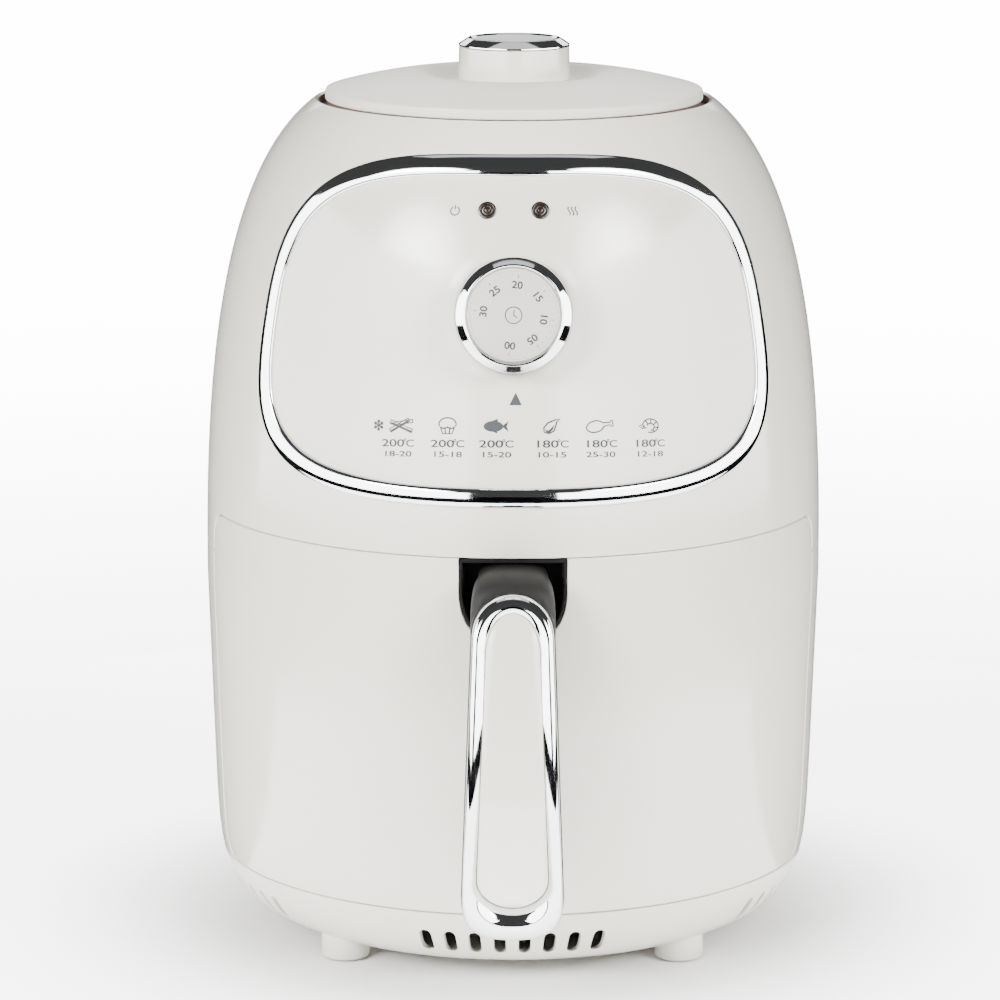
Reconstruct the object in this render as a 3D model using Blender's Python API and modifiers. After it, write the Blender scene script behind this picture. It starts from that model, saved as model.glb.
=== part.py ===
"""Compact hot-air fryer with a pull-out drawer, modelled in its own frame.

Metres, +Z up, front towards -Y. The origin is the centre of the footprint, on the
table. Everything is placed on the body's upright axis, which lies behind the origin
because the handle stands forward of the body.
"""

from math import atan, cos, pi, radians, sin, sqrt, tau

import bmesh
import bpy
from mathutils import Euler, Matrix

# ---------------------------------------------------------------- body skin
WAIST_RADIUS = 0.1076       # widest radius of the body
WAIST_Z = 0.1257            # height of the widest point
DOME_RISE = 0.17775         # waist to the point where the dome would close
DOME_SHAPE = (2.49, 4.15)
TUCK_DROP = 0.12514         # waist to the point where the tuck-in would close
TUCK_SHAPE = (12.0, 3.87)
TUCK_TAPER = 0.0041
WALL = 0.0024
GAP = 0.0003                # clearance between neighbouring solids
SEGMENTS = 36

BASE_Z = 0.0075             # underside of the body
SPLIT_Z = 0.1375            # parting line between the two housings
DOME_TOP_Z = 0.2905
LID_OPENING_R = 0.0675
LEDGE_INNER_R = 0.0560
LEDGE_Z = 0.2882
FLOOR_RING_R = 0.0680       # inner radius of the lower housing's floor

# ------------------------------------------------------------------ drawer
DRAWER_HALF_ANGLE = 74.5    # degrees, from the front
DRAWER_Z = (0.0279, 0.1516)
DRAWER_CORNER = 0.010
NOTCH_HALF_WIDTH = 0.01785
NOTCH_Z = 0.1228            # lowest point of the notch for the handle
NOTCH_DEPTH = 0.0200        # height of the notch's rounded part
NOTCH_SHAPE = 0.75
INNER_PANEL_DEPTH = 0.0105  # behind the skin
INNER_PANEL_WALL = 0.0016
PAN_RADIUS = 0.0805
PAN_Z = (0.0385, 0.1426)
PAN_WALL = 0.0012
PAN_RIM_R = 0.0840
LINER_HALF_WIDTH = 0.0865
LINER_Z = (0.0340, 0.1580)
LINER_FRONT_Y = -0.0360
LINER_WALL = 0.0010
PLATE_Z = 0.0500            # underside of the crisper plate
PLATE_RADIUS = 0.0755

# ------------------------------------------------------------------- panel
PANEL_Z = 0.2252
PANEL_SEAM = (53.6, 0.0533)         # half angle in degrees, half height
TRIM_OUTER = (55.4, 0.0566)
TRIM_INNER = (51.8, 0.0500)
TRIM_HEIGHT = 0.0019
TIMER_Z = 0.2315
TIMER_TILT = 10.0
LENS_ANGLE = 5.6
LENS_Z = 0.2647

# ------------------------------------------------------------------ handle
GRIP_BOW_Z = 0.0769         # height where the grip stands furthest forward
GRIP_BOW_Y = 0.1450         # its distance in front of the body axis there
GRIP_BOW = 3.187            # how fast the grip curves back from there, per metre
GRIP_TOP = (0.0135, 0.0147, 0.1295, 2.15)       # half width, height, centre and shape of an arch
GRIP_BOTTOM = (0.0166, 0.0146, 0.0440, 2.7)
WINDOW_TOP = (0.0090, 0.0130, 0.1258, 2.0)      # opening of the chrome frame
WINDOW_BOTTOM = (0.0119, 0.0115, 0.0518, 2.1)
GRIP_FRAME_DEPTH = 0.0070
GRIP_INSERT_DEPTH = (0.0007, 0.0066)
GRIP_DEPTH = 0.0150
SOCKET_DEPTH = (-0.0915, -0.1120)
SCREW_PLACE = (0.0060, 0.1415)      # distance from the middle and height of the neck's screws

# ------------------------------------------------------------- knob and lid
LID_RADIUS = 0.0653
LID_RIM_Z = 0.2950
LID_CREST = (0.0335, 0.3005)
LID_DISH_Z = 0.2972
KNOB_RADIUS = 0.0193
KNOB_Z = (0.2980, 0.3094)
TOP_Z = 0.3123
SHAFT_RADIUS = 0.0030
SHAFT_TOP = 0.0088          # above the panel for the timer

# --------------------------------------------------------------------- fan
REFLECTOR_Z = (0.1585, 0.1960)
IMPELLER_Z = 0.1780
MOTOR_Z = (0.2260, 0.2440)

FOOT_SPREAD = (0.0576, 0.0580)
FOOT_RADIUS = 0.0083
VENT_Z = 0.01675
CORD_Z = 0.0360
OUTLET = (18.2, 0.1878, 0.2322)     # half angle in degrees, lowest and highest point
OUTLET_CORNER = 0.004
AXIS_Y = (GRIP_BOW_Y - WAIST_RADIUS) / 2    # body axis, measured from the origin

# Colour, roughness and metallic value of each kind of surface.
LOOKS = {
    "white_gloss": ((0.80, 0.785, 0.76, 1), 0.16, 0.0),
    "white_satin": ((0.76, 0.75, 0.73, 1), 0.38, 0.0),
    "white_matte": ((0.74, 0.73, 0.71, 1), 0.60, 0.0),
    "chrome": ((0.82, 0.82, 0.83, 1), 0.06, 1.0),
    "black_plastic": ((0.018, 0.017, 0.018, 1), 0.45, 0.0),
    "grey_plastic": ((0.040, 0.040, 0.039, 1), 0.55, 0.0),
    "lens": ((0.060, 0.022, 0.012, 1), 0.12, 0.0),
    "rubber": ((0.52, 0.51, 0.49, 1), 0.85, 0.0),
    "silicone": ((0.030, 0.030, 0.032, 1), 0.75, 0.0),
    "nonstick": ((0.030, 0.030, 0.032, 1), 0.42, 0.3),
    "steel": ((0.55, 0.55, 0.56, 1), 0.35, 1.0),
    "heater": ((0.20, 0.19, 0.18, 1), 0.50, 0.9),
    "aluminium": ((0.72, 0.72, 0.72, 1), 0.42, 1.0),
    "copper": ((0.62, 0.30, 0.14, 1), 0.45, 0.9),
    "brass": ((0.66, 0.50, 0.22, 1), 0.35, 1.0),
}


# ------------------------------------------------------------------ scene
def clear_scene():
    for obj in list(bpy.data.objects):
        bpy.data.objects.remove(obj, do_unlink=True)


def new_collection(name):
    collection = bpy.data.collections.new(name)
    bpy.context.scene.collection.children.link(collection)
    return collection


clear_scene()
PARTS = new_collection("air_fryer")
CUTTERS = new_collection("cutters")


def new_empty(name, location, rotation=(0, 0, 0), parent=None):
    empty = bpy.data.objects.new(name, None)
    empty.location = location
    empty.rotation_euler = rotation
    empty.parent = parent
    PARTS.objects.link(empty)
    return empty


BODY_AXIS = new_empty("body_axis", (0, AXIS_Y, 0))


def give_material(obj, look):
    colour, roughness, metallic = LOOKS[look]
    material = bpy.data.materials.new(obj.name + "_finish")
    material.use_nodes = True
    shader = material.node_tree.nodes["Principled BSDF"]
    shader.inputs["Base Color"].default_value = colour
    shader.inputs["Roughness"].default_value = roughness
    shader.inputs["Metallic"].default_value = metallic
    obj.data.materials.append(material)


def place(obj, look, location, rotation, parent):
    """Put an object on its parent axis, as a finished part or, with no look, as a cutter."""
    obj.location = location
    obj.rotation_euler = rotation
    obj.parent = parent or BODY_AXIS
    if look:
        PARTS.objects.link(obj)
        give_material(obj, look)
    else:
        CUTTERS.objects.link(obj)
        obj.hide_render = True
        obj.display_type = 'WIRE'
    return obj


def shade(mesh):
    mesh.shade_smooth()
    mesh.set_sharp_from_angle(angle=radians(35))


# ----------------------------------------------------------- shape helpers
def skin_radius(z):
    """Outer radius of the body at height z."""
    if z > WAIST_Z:
        rise = (z - WAIST_Z) / DOME_RISE
        return WAIST_RADIUS * (1 - rise ** DOME_SHAPE[0]) ** (1 / DOME_SHAPE[1])
    drop = (WAIST_Z - z) / TUCK_DROP
    return (WAIST_RADIUS - TUCK_TAPER * drop) * (1 - drop ** TUCK_SHAPE[0]) ** (1 / TUCK_SHAPE[1])


def heights(start, end, count, crowd=1.0):
    """Heights from start to end, closer together near the end when crowd is above 1."""
    return [end + (start - end) * (1 - i / (count - 1)) ** crowd for i in range(count)]


DOME_ROWS = heights(SPLIT_Z, DOME_TOP_Z, 9, 1.7)[::-1]


def on_skin(angle, z):
    """Location and rotation of a point of the skin whose own Z axis points straight out."""
    step = 0.0001
    lean = atan((skin_radius(z - step) - skin_radius(z + step)) / (2 * step))
    turn = radians(angle)
    radius = skin_radius(z)
    return (radius * sin(turn), -radius * cos(turn), z), (pi / 2 - lean, 0, turn)


def revolve(name, profile, look=None, closed=True, segments=SEGMENTS,
            location=(0, 0, 0), rotation=(0, 0, 0), parent=None):
    """Turn (radius, height) points about the object's Z axis."""
    mesh = bpy.data.meshes.new(name)
    edges = [(i, i + 1) for i in range(len(profile) - 1)]
    if closed:
        edges.append((len(profile) - 1, 0))
    mesh.from_pydata([(r, 0, z) for r, z in profile], edges, [])
    obj = place(bpy.data.objects.new(name, mesh), look, location, rotation, parent)
    screw = obj.modifiers.new("turn", 'SCREW')
    screw.steps = screw.render_steps = segments
    screw.use_merge_vertices = True
    screw.merge_threshold = 0.00001
    screw.use_smooth_shade = True
    return obj


def solidify(obj, thickness, inward=True):
    modifier = obj.modifiers.new("wall", 'SOLIDIFY')
    modifier.thickness = thickness
    modifier.offset = -1 if inward else 1
    modifier.use_even_offset = True
    return obj


def from_bmesh(name, bm, look=None, location=(0, 0, 0), rotation=(0, 0, 0), parent=None):
    mesh = bpy.data.meshes.new(name)
    bm.to_mesh(mesh)
    bm.free()
    shade(mesh)
    return place(bpy.data.objects.new(name, mesh), look, location, rotation, parent)


def block(name, low, high, look=None, bevel=0.0, parent=None, rotation=(0, 0, 0), location=(0, 0, 0)):
    """A box between two corners, with its edges rounded by bevel."""
    bm = bmesh.new()
    bmesh.ops.create_cube(bm, size=1)
    size = [h - l for l, h in zip(low, high)]
    middle = [(h + l) / 2 for l, h in zip(low, high)]
    bmesh.ops.scale(bm, vec=size, verts=bm.verts)
    bmesh.ops.translate(bm, vec=middle, verts=bm.verts)
    obj = from_bmesh(name, bm, look, location, rotation, parent)
    if bevel:
        modifier = obj.modifiers.new("edges", 'BEVEL')
        modifier.width = bevel
        modifier.segments = 2
    return obj


def rod(name, radius, low, high, look=None, segments=16, location=(0, 0, 0),
        rotation=(0, 0, 0), parent=None):
    """A cylinder along the object's Z axis, from height low to height high."""
    bm = bmesh.new()
    bmesh.ops.create_cone(bm, cap_ends=True, segments=segments, radius1=radius,
                          radius2=radius, depth=high - low)
    bmesh.ops.translate(bm, vec=(0, 0, (low + high) / 2), verts=bm.verts)
    return from_bmesh(name, bm, look, location, rotation, parent)


def curve_to_part(curve, name, look, location, rotation, parent):
    """Turn a curve with thickness into a welded mesh and drop the curve."""
    source = bpy.data.objects.new(name, curve)
    CUTTERS.objects.link(source)
    depsgraph = bpy.context.evaluated_depsgraph_get()
    mesh = bpy.data.meshes.new_from_object(source.evaluated_get(depsgraph))
    bpy.data.objects.remove(source, do_unlink=True)
    bpy.data.curves.remove(curve)
    bm = bmesh.new()
    bm.from_mesh(mesh)
    bmesh.ops.remove_doubles(bm, verts=bm.verts, dist=0.000002)
    return from_bmesh(name, bm, look, location, rotation, parent)


def prism(name, outline, depth, look=None, location=(0, 0, 0), rotation=(0, 0, 0), parent=None):
    """A flat outline, thickened evenly on both sides of its plane."""
    curve = bpy.data.curves.new(name, 'CURVE')
    curve.dimensions = '2D'
    curve.fill_mode = 'BOTH'
    curve.extrude = depth / 2
    spline = curve.splines.new('POLY')
    spline.points.add(len(outline) - 1)
    for point, (x, y) in zip(spline.points, outline):
        point.co = (x, y, 0, 1)
    spline.use_cyclic_u = True
    return curve_to_part(curve, name, look, location, rotation, parent)


FACING_FRONT = (pi / 2, 0, 0)       # turns an outline's plane upright, to face the front
FACING_SIDE = (pi / 2, 0, pi / 2)   # turns an outline's plane upright, to face the side


def tube(name, points, radius, look, cyclic=False, parent=None):
    """A round bar through points."""
    curve = bpy.data.curves.new(name, 'CURVE')
    curve.dimensions = '3D'
    curve.bevel_depth = radius
    curve.bevel_resolution = 2
    curve.use_fill_caps = True
    spline = curve.splines.new('POLY')
    spline.points.add(len(points) - 1)
    for point, position in zip(spline.points, points):
        point.co = (*position, 1)
    spline.use_cyclic_u = cyclic
    return curve_to_part(curve, name, look, (0, 0, 0), (0, 0, 0), parent)


def boolean(obj, operation, *tools):
    for tool in tools:
        modifier = obj.modifiers.new(tool.name, 'BOOLEAN')
        modifier.operation = operation
        modifier.solver = 'EXACT'
        modifier.object = tool
    return obj


def cut(obj, *tools):
    return boolean(obj, 'DIFFERENCE', *tools)


def join(obj, *tools):
    return boolean(obj, 'UNION', *tools)


def keep_inside(obj, *tools):
    return boolean(obj, 'INTERSECT', *tools)


def repeat_round(obj, angles):
    """Copy a cutter's solid to several angles (degrees) about the body axis."""
    mesh = obj.data
    bm = bmesh.new()
    bm.from_mesh(mesh)
    turned = Euler(obj.rotation_euler).to_matrix().to_4x4()
    bmesh.ops.transform(bm, matrix=Matrix.Translation(obj.location) @ turned, verts=bm.verts)
    seed = bm.verts[:] + bm.edges[:] + bm.faces[:]
    for angle in angles:
        copied = bmesh.ops.duplicate(bm, geom=seed)["geom"]
        verts = [item for item in copied if isinstance(item, bmesh.types.BMVert)]
        bmesh.ops.rotate(bm, verts=verts, cent=(0, 0, 0), matrix=Matrix.Rotation(radians(angle), 3, 'Z'))
    bmesh.ops.delete(bm, geom=[item for item in seed if isinstance(item, bmesh.types.BMVert)])
    bm.to_mesh(mesh)
    bm.free()
    obj.location = (0, 0, 0)
    obj.rotation_euler = (0, 0, 0)
    return obj


def stadium(length, width, per_end=2):
    """Outline of a slot with round ends, standing along Y."""
    radius = width / 2
    straight = length / 2 - radius
    points = []
    for end in (1, -1):
        for i in range(per_end + 1):
            turn = pi * i / per_end
            points.append((end * radius * cos(turn), end * (straight + radius * sin(turn))))
    return points


def signed_power(value, power):
    return abs(value) ** power * (1 if value >= 0 else -1)


def loft(name, sections, look, parent=None):
    """Skin over closed sections of equal point count, with a flat face at each end."""
    bm = bmesh.new()
    rings = [[bm.verts.new(point) for point in section] for section in sections]
    count = len(rings[0])
    for near, far in zip(rings, rings[1:]):
        for i in range(count):
            j = (i + 1) % count
            bm.faces.new((near[i], near[j], far[j], far[i]))
    bm.faces.new(rings[0][::-1])
    bm.faces.new(rings[-1])
    bmesh.ops.recalc_face_normals(bm, faces=bm.faces)
    return from_bmesh(name, bm, look, parent=parent)


def patch_columns(half_angle, corner_angle):
    """Angles of a patch's upright rows: the skin's own segments, closer in the corners."""
    shares = (30, 60, 90) if corner_angle else (90,)
    edge = [half_angle - corner_angle * (1 - sin(radians(share))) for share in shares]
    edge += [half_angle - corner_angle] if corner_angle else []
    step = 360 / SEGMENTS
    middle = [i * step for i in range(SEGMENTS // 2) if i * step < min(edge) - 1]
    return sorted({sign * angle for angle in edge + middle for sign in (-1, 1)})


def patch(name, half_angle, low, high, offset, thickness, look=None, corner=0.0, turn=0.0,
          shares=(0, 0.03, 0.09, 0.2, 0.5, 1)):
    """A piece of wall that follows the body skin, with rounded corners.

    It spans half_angle degrees each side of its middle and heights low to high. Its
    outer face stands offset outside the skin, and its edges are level or radial. Its
    rows lie at the given shares of its height.
    """
    corner_angle = corner / WAIST_RADIUS / radians(1)
    bm = bmesh.new()
    rows = []
    for angle in patch_columns(half_angle, corner_angle):
        past = (abs(angle) - half_angle + corner_angle) / corner_angle if corner else 0
        pull = corner * (1 - sqrt(1 - min(1, max(0, past)) ** 2))
        row = []
        for share in shares:
            z = low + pull + (high - low - 2 * pull) * share
            radius = skin_radius(z) + offset
            row.append(bm.verts.new((radius * sin(radians(angle)), -radius * cos(radians(angle)), z)))
        rows.append(row)
    for left, right in zip(rows, rows[1:]):
        for i in range(len(left) - 1):
            bm.faces.new((left[i], right[i], right[i + 1], left[i + 1]))
    inner = bmesh.ops.extrude_face_region(bm, geom=bm.faces[:], use_keep_orig=True)["geom"]
    for vert in (item for item in inner if isinstance(item, bmesh.types.BMVert)):
        vert.co.xy *= 1 - thickness / vert.co.xy.length
    bmesh.ops.recalc_face_normals(bm, faces=bm.faces)
    return from_bmesh(name, bm, look, rotation=(0, 0, radians(turn)))


# ---------------------------------------------------------------- housings
def inner_radius(z):
    """Inner radius of a housing wall; the shift keeps the wall even where the dome closes."""
    return skin_radius(z + 0.0016) - 0.0022


def drawer_opening(name):
    low, high = DRAWER_Z
    return patch(name, DRAWER_HALF_ANGLE, low, high, 0.004, 0.016, corner=DRAWER_CORNER)


def make_upper_housing():
    outer = [(skin_radius(z), z) for z in DOME_ROWS]
    under = LEDGE_Z - WALL
    inner = [(inner_radius(z), z) for z in heights(SPLIT_Z, under, 6, 1.6)]
    profile = [
        (LID_OPENING_R, LEDGE_Z),
        (LID_OPENING_R, 0.2912),
        (0.0687, 0.2917),
        *outer,
        *inner,
        (LEDGE_INNER_R, under),
        (LEDGE_INNER_R, LEDGE_Z),
    ]
    housing = revolve("upper_housing", profile, "white_gloss")
    angle, height = PANEL_SEAM
    opening = front_prism("panel_opening", panel_outline(angle + 0.15, height + 0.00015))
    outlet = patch("outlet_opening", *OUTLET, 0.004, 0.012, corner=OUTLET_CORNER, turn=180)
    cut(housing, opening, drawer_opening("upper_drawer_opening"), outlet)


def vent_slots():
    """Cutter for the air inlets that ring the foot of the body."""
    front = [i * 4.9 + 2.45 for i in range(-4, 4)]
    sides = [side * angle for side in (-1, 1) for angle in range(55, 90, 5)]
    slot = prism("vent_slots", stadium(0.0085, 0.0039), 0.016, location=(0, -skin_radius(VENT_Z), VENT_Z),
                 rotation=FACING_FRONT)
    return repeat_round(slot, front + sides)


def make_lower_housing():
    top = SPLIT_Z - 0.0005
    outer = [(skin_radius(z), z) for z in (top, *heights(WAIST_Z, BASE_Z, 7, 2.0))]
    inner = [(skin_radius(z) - WALL, z) for z in heights(top, 0.0150, 5, 2.0)][::-1]
    profile = [
        *outer,
        (FLOOR_RING_R, BASE_Z),
        (FLOOR_RING_R, BASE_Z + WALL),
        (0.0880, BASE_Z + WALL),
        *inner,
    ]
    housing = revolve("lower_housing", profile, "white_gloss")
    inlet = rod("cord_inlet", 0.0063, -0.012, 0.01, location=on_skin(180, CORD_Z)[0],
                rotation=(pi / 2, 0, pi))
    cut(housing, drawer_opening("lower_drawer_opening"), vent_slots(), inlet)


def make_base_plate():
    low, high = BASE_Z - 0.0001, BASE_Z + 0.0020
    radius = FLOOR_RING_R - 0.0004
    plate = revolve("base_plate", [(0, high), (radius, high), (radius, low), (0, low)],
                    "white_matte", closed=False)
    slot = prism("base_slots", stadium(0.030, 0.005), 0.02, location=(0, 0.036, low))
    posts = rod("base_posts", 0.003, low + 0.001, LINER_Z[0] - LINER_WALL - GAP, segments=8,
                location=(0.057, 0, 0))
    cut(plate, repeat_round(slot, range(0, 360, 45)))
    join(plate, repeat_round(posts, (22.5, 157.5, 202.5, 337.5)))


def make_feet():
    """Four feet, trimmed to the curve of the body, each with a soft pad."""
    skin = [(skin_radius(z) + GAP, z) for z in heights(0.030, BASE_Z, 6, 1.8)]
    for side, x in (("left", -FOOT_SPREAD[0]), ("right", FOOT_SPREAD[0])):
        for end, y in (("front", -FOOT_SPREAD[1]), ("rear", FOOT_SPREAD[1])):
            name = "foot_" + end + "_" + side
            profile = [
                (0, 0.0125), (FOOT_RADIUS, 0.0125), (FOOT_RADIUS, 0.0012), (0.0078, 0.0007),
                (0.0064, 0.0007), (0.0064, 0.0023), (0, 0.0023),
            ]
            foot = revolve(name, profile, "white_matte", closed=False, segments=16, location=(x, y, 0))
            under = BASE_Z - GAP
            solid = [(0, 0.030), *skin, (0.0860, under), (0, under)]
            cut(foot, revolve(name + "_trim", solid, closed=False))
            rod(name + "_pad", 0.0061, 0, 0.0020, "rubber", 16, location=(x, y, 0))


def make_outlet_grille():
    angle, low, high = OUTLET
    grille = patch("outlet_grille", angle - 0.2, low + 0.0004, high - 0.0004, -GAP, 0.0020, "white_satin",
                   corner=OUTLET_CORNER, turn=180)
    for i in range(5):
        z = 0.1950 + i * 0.0075
        cut(grille, block("outlet_slot_%d" % i, (-0.026, 0.080, z - 0.0017), (0.026, 0.125, z + 0.0017)))


def make_cord_gland():
    location, _ = on_skin(180, CORD_Z)
    profile = [(0.0032, 0.0034), (0.0055, 0.0034), (0.0072, 0.0020), (0.0072, 0.0010), (0.0060, 0.0010),
               (0.0060, -0.0045), (0.0072, -0.0045), (0.0072, -0.0062), (0.0032, -0.0062)]
    revolve("cord_gland", profile, "black_plastic", segments=16, location=location,
            rotation=(pi / 2, 0, pi))


# ------------------------------------------------------------------- panel
def panel_outline(half_angle, half_height, count=48):
    """Rounded outline of the control panel as (x, z), bowed with the body."""
    points = []
    for i in range(count):
        turn = tau * (i + 0.5) / count
        power = 2 / (3.3 if sin(turn) >= 0 else 3.7)
        angle = radians(half_angle) * signed_power(cos(turn), power)
        z = PANEL_Z + half_height * signed_power(sin(turn), power)
        points.append((skin_radius(z) * sin(angle), z))
    return points


def front_prism(name, outline, depth=0.070, middle=-0.080):
    return prism(name, outline, depth, location=(0, middle, 0), rotation=FACING_FRONT)


def dome_shell(name, look, outside, inside):
    """A turned shell between two offsets from the skin of the upper housing."""
    outer = [(skin_radius(z) + outside, z) for z in DOME_ROWS]
    inner = [(skin_radius(z) + inside, z) for z in DOME_ROWS]
    return revolve(name, outer + inner[::-1], look)


def make_control_panel():
    panel = dome_shell("control_panel", "white_gloss", 0, -0.0023)
    angle, height = PANEL_SEAM
    keep_inside(panel, front_prism("panel_shape", panel_outline(angle - 0.15, height - 0.00015)))
    hole = rod("timer_hole", 0.0045, -0.012, 0.01, rotation=TIMER_ROTATION, location=TIMER_PLACE)
    cut(panel, hole)
    for side in (-1, 1):
        location, rotation = on_skin(side * LENS_ANGLE, LENS_Z)
        cut(panel, rod("lens_hole_%+d" % side, 0.0035, -0.01, 0.01, location=location, rotation=rotation))


def make_trim_ring():
    ring = dome_shell("panel_trim_ring", "chrome", TRIM_HEIGHT, GAP)
    keep_inside(ring, front_prism("trim_outside", panel_outline(*TRIM_OUTER)))
    cut(ring, front_prism("trim_inside", panel_outline(*TRIM_INNER), 0.080))


def make_lenses():
    for name, side in (("power_lens", -1), ("working_lens", 1)):
        location, rotation = on_skin(side * LENS_ANGLE, LENS_Z)
        profile = [(0, 0.0010), (0.0018, 0.0008), (0.0031, 0.0001), (0.0031, -0.0036), (0.0044, -0.0036),
                   (0.0044, -0.0060), (0, -0.0060)]
        revolve(name, profile, "lens", closed=False, segments=16, location=location, rotation=rotation)


# ------------------------------------------------------------------- knobs
TIMER_ROTATION = (radians(90 - TIMER_TILT), 0, 0)
TIMER_PLACE = (0, -skin_radius(TIMER_Z), TIMER_Z)
TIMER_AXIS = new_empty("timer_axis", TIMER_PLACE, TIMER_ROTATION, BODY_AXIS)


def make_timer():
    """Spring-wound timer: its knob and shaft turn, its case and bell stay on the panel."""
    ring = [(0.0156, 0.0126), (0.0161, 0.0130), (0.0166, 0.0129), (0.0189, 0.0100), (0.0190, 0.0094),
            (0.0190, 0.0030), (0.0176, 0.0030), (0.0160, 0.0070)]
    revolve("timer_knob_ring", ring, "chrome", segments=32, parent=TIMER_AXIS)
    dial = [(0, 0.0121), (0.0150, 0.0121), (0.0153, 0.0118), (0.0153, 0.0030), (SHAFT_RADIUS + GAP, 0.0030),
            (SHAFT_RADIUS + GAP, 0.0092), (0, 0.0092)]
    revolve("timer_knob_dial", dial, "white_satin", closed=False, segments=32, parent=TIMER_AXIS)
    rod("timer_shaft", SHAFT_RADIUS, -0.0105, SHAFT_TOP, "steel", parent=TIMER_AXIS)
    case = block("timer_case", (-0.020, -0.020, -0.031), (0.020, 0.020, -0.0075), "steel", 0.001,
                 parent=TIMER_AXIS)
    cut(case, rod("timer_bearing", SHAFT_RADIUS + GAP, -0.0110, 0, parent=TIMER_AXIS))
    bell = [(0, -0.0365), (0.009, -0.0362), (0.015, -0.0345), (0.018, -0.0315), (0.0172, -0.0314),
            (0.0145, -0.0336), (0.009, -0.0351), (0, -0.0354)]
    revolve("timer_bell", bell[::-1], "brass", closed=False, segments=16, parent=TIMER_AXIS)


def make_top_cover():
    """Lid disc with a shallow dish under the knob."""
    crest_r, crest_z = LID_CREST
    reach = LID_RADIUS - 0.0008 - crest_r
    slope = [(crest_r + reach * i / 4, crest_z - (crest_z - LID_RIM_Z) * (i / 4) ** 1.6) for i in range(5)]
    bore = SHAFT_RADIUS + 0.0012
    foot = LEDGE_Z + GAP
    profile = [
        (bore, LID_DISH_Z), (0.0215, LID_DISH_Z), (0.0250, 0.2978), (0.0290, 0.2995),
        *slope,
        (LID_RADIUS, LID_RIM_Z - 0.0010), (LID_RADIUS, foot), (0.0628, foot),
        (0.0620, 0.2930), (0.0330, 0.2984), (0.0240, 0.2950), (bore, 0.2950),
    ]
    revolve("top_cover", profile, "white_satin")


def make_temperature_knob():
    low, high = KNOB_Z
    bore = SHAFT_RADIUS + GAP
    bore_top = 0.3048
    knob = [(0, high), (0.0190, high), (KNOB_RADIUS, low + 0.0006), (KNOB_RADIUS - 0.0006, low),
            (bore, low), (bore, bore_top), (0, bore_top)]
    revolve("temperature_knob", knob, "white_gloss", closed=False, segments=32)
    base = high + GAP
    cap = [(0, TOP_Z - 0.0005), (0.0148, TOP_Z - 0.0005), (0.0153, TOP_Z), (0.0162, TOP_Z),
           (0.0191, base + 0.0004), (0.0191, base), (0, base)]
    revolve("temperature_knob_cap", cap, "chrome", closed=False, segments=32)
    rod("thermostat_shaft", SHAFT_RADIUS, 0.2800, bore_top - 0.0004, "steel")


def make_thermostat():
    """Thermostat body, hung under the dome on a flat strap."""
    top = LEDGE_Z - WALL - GAP
    under = top - 0.0014
    strap = block("thermostat_bracket", (-0.0640, -0.0110, under), (0.0640, 0.0110, top), "steel")
    cut(strap, rod("bracket_hole", 0.0045, 0.27, 0.30))
    high = under - GAP
    bore = SHAFT_RADIUS + GAP
    body = [(bore, high), (0.0140, high), (0.0140, 0.2700), (0.0110, 0.2620), (0, 0.2620), (0, 0.2790),
            (bore, 0.2790)]
    revolve("thermostat", body, "aluminium", segments=16)


# ------------------------------------------------------------------ drawer
def notch_outline(shrink=0.0):
    """U-shaped outline of the handle notch, as (x, z), open towards the drawer's top."""
    half = NOTCH_HALF_WIDTH - shrink
    low = NOTCH_Z + shrink
    high = DRAWER_Z[1] + 0.004 - shrink
    shoulder = low + NOTCH_DEPTH
    points = [(half, high), (-half, high)]
    for i in range(13):
        turn = pi + pi * i / 12
        points.append((half * signed_power(cos(turn), NOTCH_SHAPE),
                       shoulder + NOTCH_DEPTH * signed_power(sin(turn), NOTCH_SHAPE)))
    return points


def make_drawer_front():
    low, high = DRAWER_Z
    front = patch("drawer_front", DRAWER_HALF_ANGLE - 0.3, low + GAP, high - GAP, 0, 0.0025, "white_gloss",
                  corner=DRAWER_CORNER)
    cut(front, front_prism("drawer_notch", notch_outline()))


def make_drawer_inner_panel():
    panel = patch("drawer_inner_panel", 62.0, 0.0360, 0.1470, -INNER_PANEL_DEPTH, INNER_PANEL_WALL,
                  "black_plastic", corner=0.012, shares=(0, 0.1, 0.5, 1))
    cut(panel, front_prism("panel_notch", notch_outline(-0.0004)))


def make_pan():
    low, high = PAN_Z
    inner = PAN_RADIUS - PAN_WALL
    profile = [
        (0, low), (0.0700, low), (0.0770, low + 0.0022), (PAN_RADIUS, low + 0.0090),
        (PAN_RADIUS, high - 0.0012), (PAN_RIM_R, high - 0.0012), (PAN_RIM_R, high),
        (inner, high), (inner, low + 0.0095), (0.0762, low + 0.0034), (0.0697, low + PAN_WALL),
        (0, low + PAN_WALL),
    ]
    revolve("pan", profile[::-1], "nonstick", closed=False)


def make_pan_bracket():
    """Bridge that carries the pan on the back of the drawer front."""
    inner = PAN_RADIUS + GAP
    outer = skin_radius(0.09) - INNER_PANEL_DEPTH - INNER_PANEL_WALL - 0.0015
    low, high = 0.052, 0.112
    shell = revolve("pan_bracket", [(outer, high), (outer, low), (inner, low), (inner, high)], "black_plastic")
    keep_inside(shell, block("bracket_reach", (-0.034, -0.110, 0.040), (0.034, -0.050, 0.120)))
    cut(shell, block("bracket_relief", (-0.024, -0.0925, 0.045), (0.024, -0.0835, 0.106)))


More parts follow.
